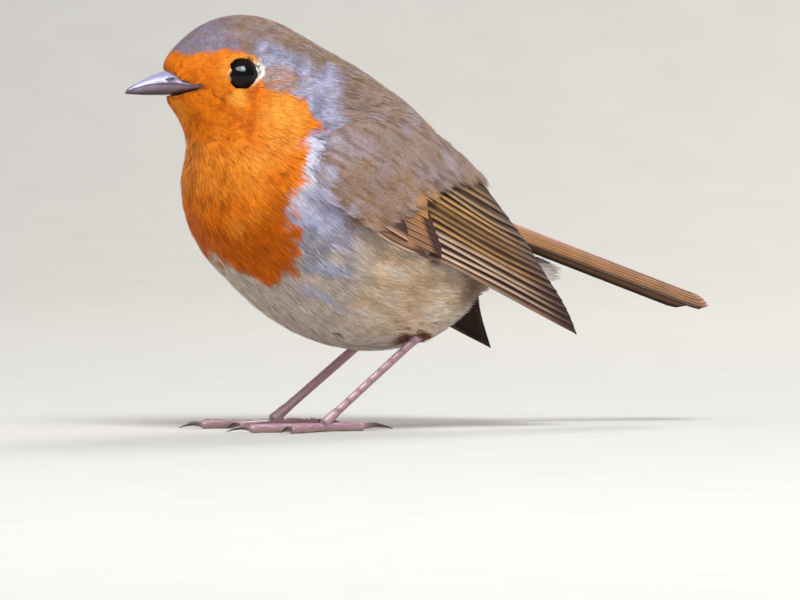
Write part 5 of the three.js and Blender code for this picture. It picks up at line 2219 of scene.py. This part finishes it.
def barb_group() -> bpy.types.NodeTree:
    """Fine slanting barbs on both sides of a feather's shaft, from its own vane map."""
    inputs = {"Vane": "Vector", "Barbs": "Float", "Slant": "Float"}
    nodes, given, result = group("Feather barbs", inputs, {"Ridge": "Float", "Shade": "Float"})
    split = nodes.add("ShaderNodeSeparateXYZ", Vector=given.outputs["Vane"])
    off = nodes.maths("ABSOLUTE", nodes.maths("SUBTRACT", split.outputs["X"], 0.4))
    slant = nodes.maths("MULTIPLY", off, given.outputs["Slant"])
    place = nodes.maths("SUBTRACT", split.outputs["Y"], slant)
    wave = nodes.maths("SINE", nodes.maths("MULTIPLY", place, given.outputs["Barbs"]))
    ragged = nodes.add("ShaderNodeTexNoise", Vector=given.outputs["Vane"], Scale=9.0, Detail=3.0)
    ridge = nodes.maths("MULTIPLY", nodes.maths("ADD", wave, 1.0), 0.5)
    uneven = nodes.maths("ADD", nodes.maths("MULTIPLY", ridge, 0.3), ragged.outputs[0])
    nodes.set(result.inputs["Ridge"], ridge)
    nodes.set(result.inputs["Shade"], nodes.ranged(uneven, 0.3, 1.0, 0.82, 1.14))
    return nodes.tree


def mottle_group() -> bpy.types.NodeTree:
    """A soft mottle through the object, as two sizes of noise."""
    inputs = {"Place": "Vector", "Size": "Float"}
    nodes, given, result = group("Soft mottle", inputs, {"Shade": "Float", "Grain": "Float"})
    place, size = given.outputs["Place"], given.outputs["Size"]
    broad = nodes.add("ShaderNodeTexNoise", Vector=place, Scale=size, Detail=4.0)
    fine_size = nodes.maths("MULTIPLY", size, 5.0)
    fine = nodes.add("ShaderNodeTexNoise", Vector=place, Scale=fine_size, Detail=2.0)
    nodes.set(result.inputs["Shade"], nodes.ranged(broad.outputs[0], 0.25, 0.75, 0.86, 1.14))
    nodes.set(result.inputs["Grain"], fine.outputs[0])
    return nodes.tree


@dataclass
class Groups:
    """The shader groups that several finishes share."""

    barbs: bpy.types.NodeTree = field(default_factory=barb_group)
    mottle: bpy.types.NodeTree = field(default_factory=mottle_group)


@dataclass(frozen=True)
class Finish:
    """A finish on the painted markings: how rough it is, its mottle, its barbs and its gloss."""

    name: str
    roughness: float
    mottle: float = 400.0
    barbs: float = 0.0
    slant: float = 0.5
    bump: float = 0.2
    relief: float = 0.0001  # in metres
    sheen: float = 0.0
    coat: float = 0.0
    specular: float = 0.5

    def made(self, groups: Groups) -> Material:
        """Builds the material.

        Args:
            groups: The shared shader groups.

        Returns:
            The material.
        """
        material = bpy.data.materials.new(self.name)
        material.use_nodes = True
        nodes = Nodes(material.node_tree)
        shader = material.node_tree.nodes["Principled BSDF"]
        painted = nodes.add("ShaderNodeAttribute", attribute_name="Plumage")
        place = nodes.add("ShaderNodeTexCoord")
        mottle = nodes.add("ShaderNodeGroup", node_tree=groups.mottle)
        nodes.set(mottle.inputs["Place"], place.outputs["Object"])
        nodes.set(mottle.inputs["Size"], self.mottle)
        colour = nodes.scaled(painted.outputs["Color"], mottle.outputs["Shade"])
        height = mottle.outputs["Grain"]
        if self.barbs:
            vane = nodes.add("ShaderNodeUVMap", uv_map="Vane")
            barbs = nodes.add("ShaderNodeGroup", node_tree=groups.barbs)
            nodes.set(barbs.inputs["Vane"], vane.outputs["UV"])
            nodes.set(barbs.inputs["Barbs"], self.barbs)
            nodes.set(barbs.inputs["Slant"], self.slant)
            colour = nodes.scaled(colour, barbs.outputs["Shade"])
            height = nodes.maths("ADD", nodes.maths("MULTIPLY", height, 0.3), barbs.outputs["Ridge"])
        bump = nodes.add("ShaderNodeBump", Strength=self.bump, Distance=self.relief, Height=height)
        rough = nodes.ranged(mottle.outputs["Grain"], 0.0, 1.0, self.roughness - 0.06, self.roughness + 0.06)
        nodes.set(shader.inputs["Base Color"], colour)
        nodes.set(shader.inputs["Roughness"], rough)
        nodes.set(shader.inputs["Normal"], bump.outputs["Normal"])
        shader.inputs["Specular IOR Level"].default_value = self.specular
        shader.inputs["Sheen Weight"].default_value = self.sheen
        shader.inputs["Sheen Roughness"].default_value = 0.4
        shader.inputs["Coat Weight"].default_value = self.coat
        shader.inputs["Coat Roughness"].default_value = 0.06
        return material


SKIN = Finish("Downy skin", 0.85, specular=0.15)
COAT = Finish("Contour feathers", 0.66, mottle=260.0, sheen=0.12, specular=0.06, bump=0.1)
VANES = Finish("Flight feathers", 0.58, mottle=300.0, barbs=420.0, slant=0.35, bump=0.3, specular=0.18)
HORN = Finish("Bill horn", 0.34, mottle=700.0, bump=0.12, relief=0.00004, specular=0.6)
BALL = Finish("Wet eye", 0.09, mottle=900.0, bump=0.0, specular=0.22)
LID = Finish("Eyelid skin", 0.5, mottle=1200.0, bump=0.4, relief=0.0001)
SCALES = Finish("Leg scales", 0.42, mottle=900.0, bump=0.3, relief=0.0001, specular=0.5)
CLAW = Finish("Claw horn", 0.32, mottle=700.0, bump=0.1, relief=0.00005, specular=0.6)


# ---- floor, light and camera


@dataclass
class Studio:
    """A pale floor that sweeps up behind the bird, soft lights and the camera."""

    azimuth: float = math.radians(-24.0)
    elevation: float = math.radians(2.0)
    distance: float = 3.0
    focal: float = 702.0
    target: tuple[float, float, float] = (-0.00343, 0.0, 0.0245)

    def back(self) -> Vector:
        """The direction from the bird to the camera."""
        ce = math.cos(self.elevation)
        return Vector((math.sin(self.azimuth) * ce, -math.cos(self.azimuth) * ce, math.sin(self.elevation)))

    def _aimed(self, item: Piece, place: Vector, at: Vector) -> None:
        """Puts a lamp or the camera at a place and aims it."""
        item.location = place
        item.rotation_euler = (at - place).to_track_quat("-Z", "Y").to_euler()
        bpy.context.scene.collection.objects.link(item)

    def camera(self) -> None:
        """Sets the camera."""
        lens = bpy.data.cameras.new("Camera")
        lens.lens = self.focal
        lens.sensor_width = 36.0
        lens.clip_start = 0.05
        camera = bpy.data.objects.new("Camera", lens)
        at = Vector(self.target)
        self._aimed(camera, at + self.back() * self.distance, at)
        bpy.context.scene.camera = camera

    def lamp(
        self, name: str, place: tuple, size: float, power: float, colour: tuple, tall: float = 1.0
    ) -> None:
        """Adds a soft box that faces the bird.

        Args:
            name: The lamp's name.
            place: Its distances right, towards the camera and up, seen from the camera, in metres.
            size: Its width in metres.
            power: Its power in watts.
            colour: Its colour.
            tall: Its height as a share of its width.
        """
        data = bpy.data.lights.new(name, "AREA")
        data.shape = "ELLIPSE"
        data.size = size
        data.size_y = size * tall
        data.energy = power
        data.color = colour
        lamp = bpy.data.objects.new(name, data)
        lamp.visible_glossy = not name.endswith("fill")
        lamp.visible_diffuse = not name.endswith("window")
        flat = Vector((self.back().x, self.back().y, 0)).normalized()
        right = Vector((-flat.y, flat.x, 0))
        spot = right * place[0] + flat * place[1] + Vector((0, 0, place[2]))
        self._aimed(lamp, spot, Vector((0, 0, 0.045)))

    def lights(self) -> None:
        """Sets the lamps, the soft sky and the colours of the picture."""
        self.lamp("Key", (0.14, 0.6, 0.93), 0.48, 11.5, (0.95, 0.97, 1.0))
        self.lamp("Front fill", (-1.0, 0.45, 0.45), 0.8, 3.5, (1.0, 0.95, 0.88))
        self.lamp("Side fill", (1.0, 0.5, 0.5), 0.8, 1.6, (1.0, 0.96, 0.9))
        self.lamp("Rim", (0.35, -0.8, 0.7), 0.5, 7.0, (1.0, 0.97, 0.92))
        self.lamp("Sky window", (-0.1, 0.75, 0.85), 1.3, 30.0, (0.85, 0.92, 1.0), 0.45)
        world = bpy.data.worlds.new("Soft sky")
        world.use_nodes = True
        sky = world.node_tree.nodes["Background"]
        sky.inputs["Color"].default_value = (0.86, 0.9, 1.0, 1.0)
        sky.inputs["Strength"].default_value = 0.32
        bpy.context.scene.world = world
        bpy.context.scene.view_settings.view_transform = "Standard"

    def floor(self) -> Piece:
        """Builds the floor, which sweeps up into a plain backdrop."""
        flat, bend, rise = 0.7, 0.6, 1.6
        turn = np.linspace(0, math.pi / 2, 24)
        run = np.concatenate([[-7.0, -1.6, 0.0], flat + bend * np.sin(turn), [flat + bend]])
        high = np.concatenate([[0.0, 0.0, 0.0], bend * (1 - np.cos(turn)), [rise]])
        away = -self.back()
        flat_away = unit(np.array([away.x, away.y, 0.0]))
        across = np.array([-flat_away[1], flat_away[0], 0.0])
        wide = np.linspace(-6.0, 6.0, 9)
        points = run[:, None, None] * flat_away + wide[None, :, None] * across + high[:, None, None] * UP
        mesh = bpy.data.meshes.new("floor")
        faces = grid_faces(len(run), len(wide))[:, ::-1]
        mesh.from_pydata(points.reshape(-1, 3).tolist(), [], faces.tolist())
        mesh.polygons.foreach_set("use_smooth", np.ones(len(mesh.polygons), bool))
        material = bpy.data.materials.new("Pale studio paper")
        material.use_nodes = True
        nodes = Nodes(material.node_tree)
        place = nodes.add("ShaderNodeTexCoord")
        grain = nodes.add("ShaderNodeTexNoise", Vector=place.outputs["Object"], Scale=60.0, Detail=4.0)
        shader = material.node_tree.nodes["Principled BSDF"]
        pale = nodes.add("ShaderNodeCombineColor", Red=0.56, Green=0.545, Blue=0.51)
        shade = nodes.ranged(grain.outputs[0], 0.2, 0.8, 0.97, 1.03)
        nodes.set(shader.inputs["Base Color"], nodes.scaled(pale.outputs[0], shade))
        shader.inputs["Roughness"].default_value = 0.9
        faces_away = nodes.add("ShaderNodeNewGeometry").outputs["Backfacing"]
        nodes.set(shader.inputs["Alpha"], nodes.maths("SUBTRACT", 1.0, faces_away))
        mesh.materials.append(material)
        floor = bpy.data.objects.new("floor", mesh)
        bpy.context.scene.collection.objects.link(floor)
        return floor


# ---- the bird


def placed(piece: Piece, slot: str, nodes: tuple[str, ...] = ()) -> None:
    """Puts a finished piece on the still body.

    Args:
        piece: The piece.
        slot: Not used.
        nodes: The CAD nodes that it stands for.
    """
    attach(piece, "root")
    if nodes:
        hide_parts(*nodes)


COAT_SLOTS = {
    Region.FACE: "plumage_orange",
    Region.CROWN: "plumage_brown",
    Region.BREAST: "plumage_orange",
    Region.LEFT: "plumage_belly",
    Region.RIGHT: "plumage_belly",
    Region.BACK: "plumage_brown",
    Region.BELLY: "plumage_belly",
}


def main() -> None:
    """Builds the robin, its floor, the lights and the camera."""
    logging.basicConfig(level=logging.INFO, format="%(name)s: %(message)s")
    studio = Studio()
    studio.camera()
    studio.lights()
    studio.floor()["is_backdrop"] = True
    groups = Groups()
    vanes, horn, scales, claw = (f.made(groups) for f in (VANES, HORN, SCALES, CLAW))
    wings = [WingForm(side) for side in Side]
    body = Field(wings)
    markings = Markings()
    skin = Skin(body)
    flesh = ("head", "neck", "trunk", "rump", "thigh_left", "thigh_right")
    placed(skin.made(markings, SKIN.made(groups)), "plumage_belly", flesh)
    coat = Coat(skin, markings, wings, COAT.made(groups))
    for region, piece in coat.made():
        placed(piece, COAT_SLOTS[region])
    for piece in coat.made_under_tail():
        placed(piece, "plumage_belly")
    for form in wings:
        name = form.side.name.lower()
        for piece in coat.made_on_wing(form):
            placed(piece, "plumage_brown")
        flight, coverts = Wing(form, vanes).made()
        placed(flight, "flight_feathers", (f"wing_{name}_secondaries", f"wing_{name}_primaries"))
        placed(coverts, "flight_feathers", (f"wing_{name}_coverts",))
    placed(Tail(vanes).made(), "flight_feathers", ("tail_middle", "tail_left", "tail_right"))
    for piece, node in zip(Bill(horn).made(), ("bill_upper", "bill_lower")):
        placed(piece, "bill_horn", (node,))
    ball, lid, scutes = BALL.made(groups), LID.made(groups), Scutes()
    for side in Side:
        name = side.name.lower()
        eye = Eyeball(side, ball, lid)
        placed(eye.made_ball(), "eye", (f"eye_{name}",))
        placed(eye.made_lids(markings), "eye")
        shank, plates, claws = Leg(side, scales, claw).made(scutes)
        toes = [f"toe_{name}_{toe.name}" for toe in TOES]
        placed(shank, "leg_skin", (f"tarsus_{name}", *toes))
        placed(plates, "leg_skin")
        placed(claws, "claw_horn", tuple(f"claw_{name}_{toe.name}" for toe in TOES))
    boxes = {"cad": CAD_BOX, "visual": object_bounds()}
    {name: [list(map(float, corner)) for corner in box] for name, box in boxes.items()}


if __name__ == "__main__":
    main()
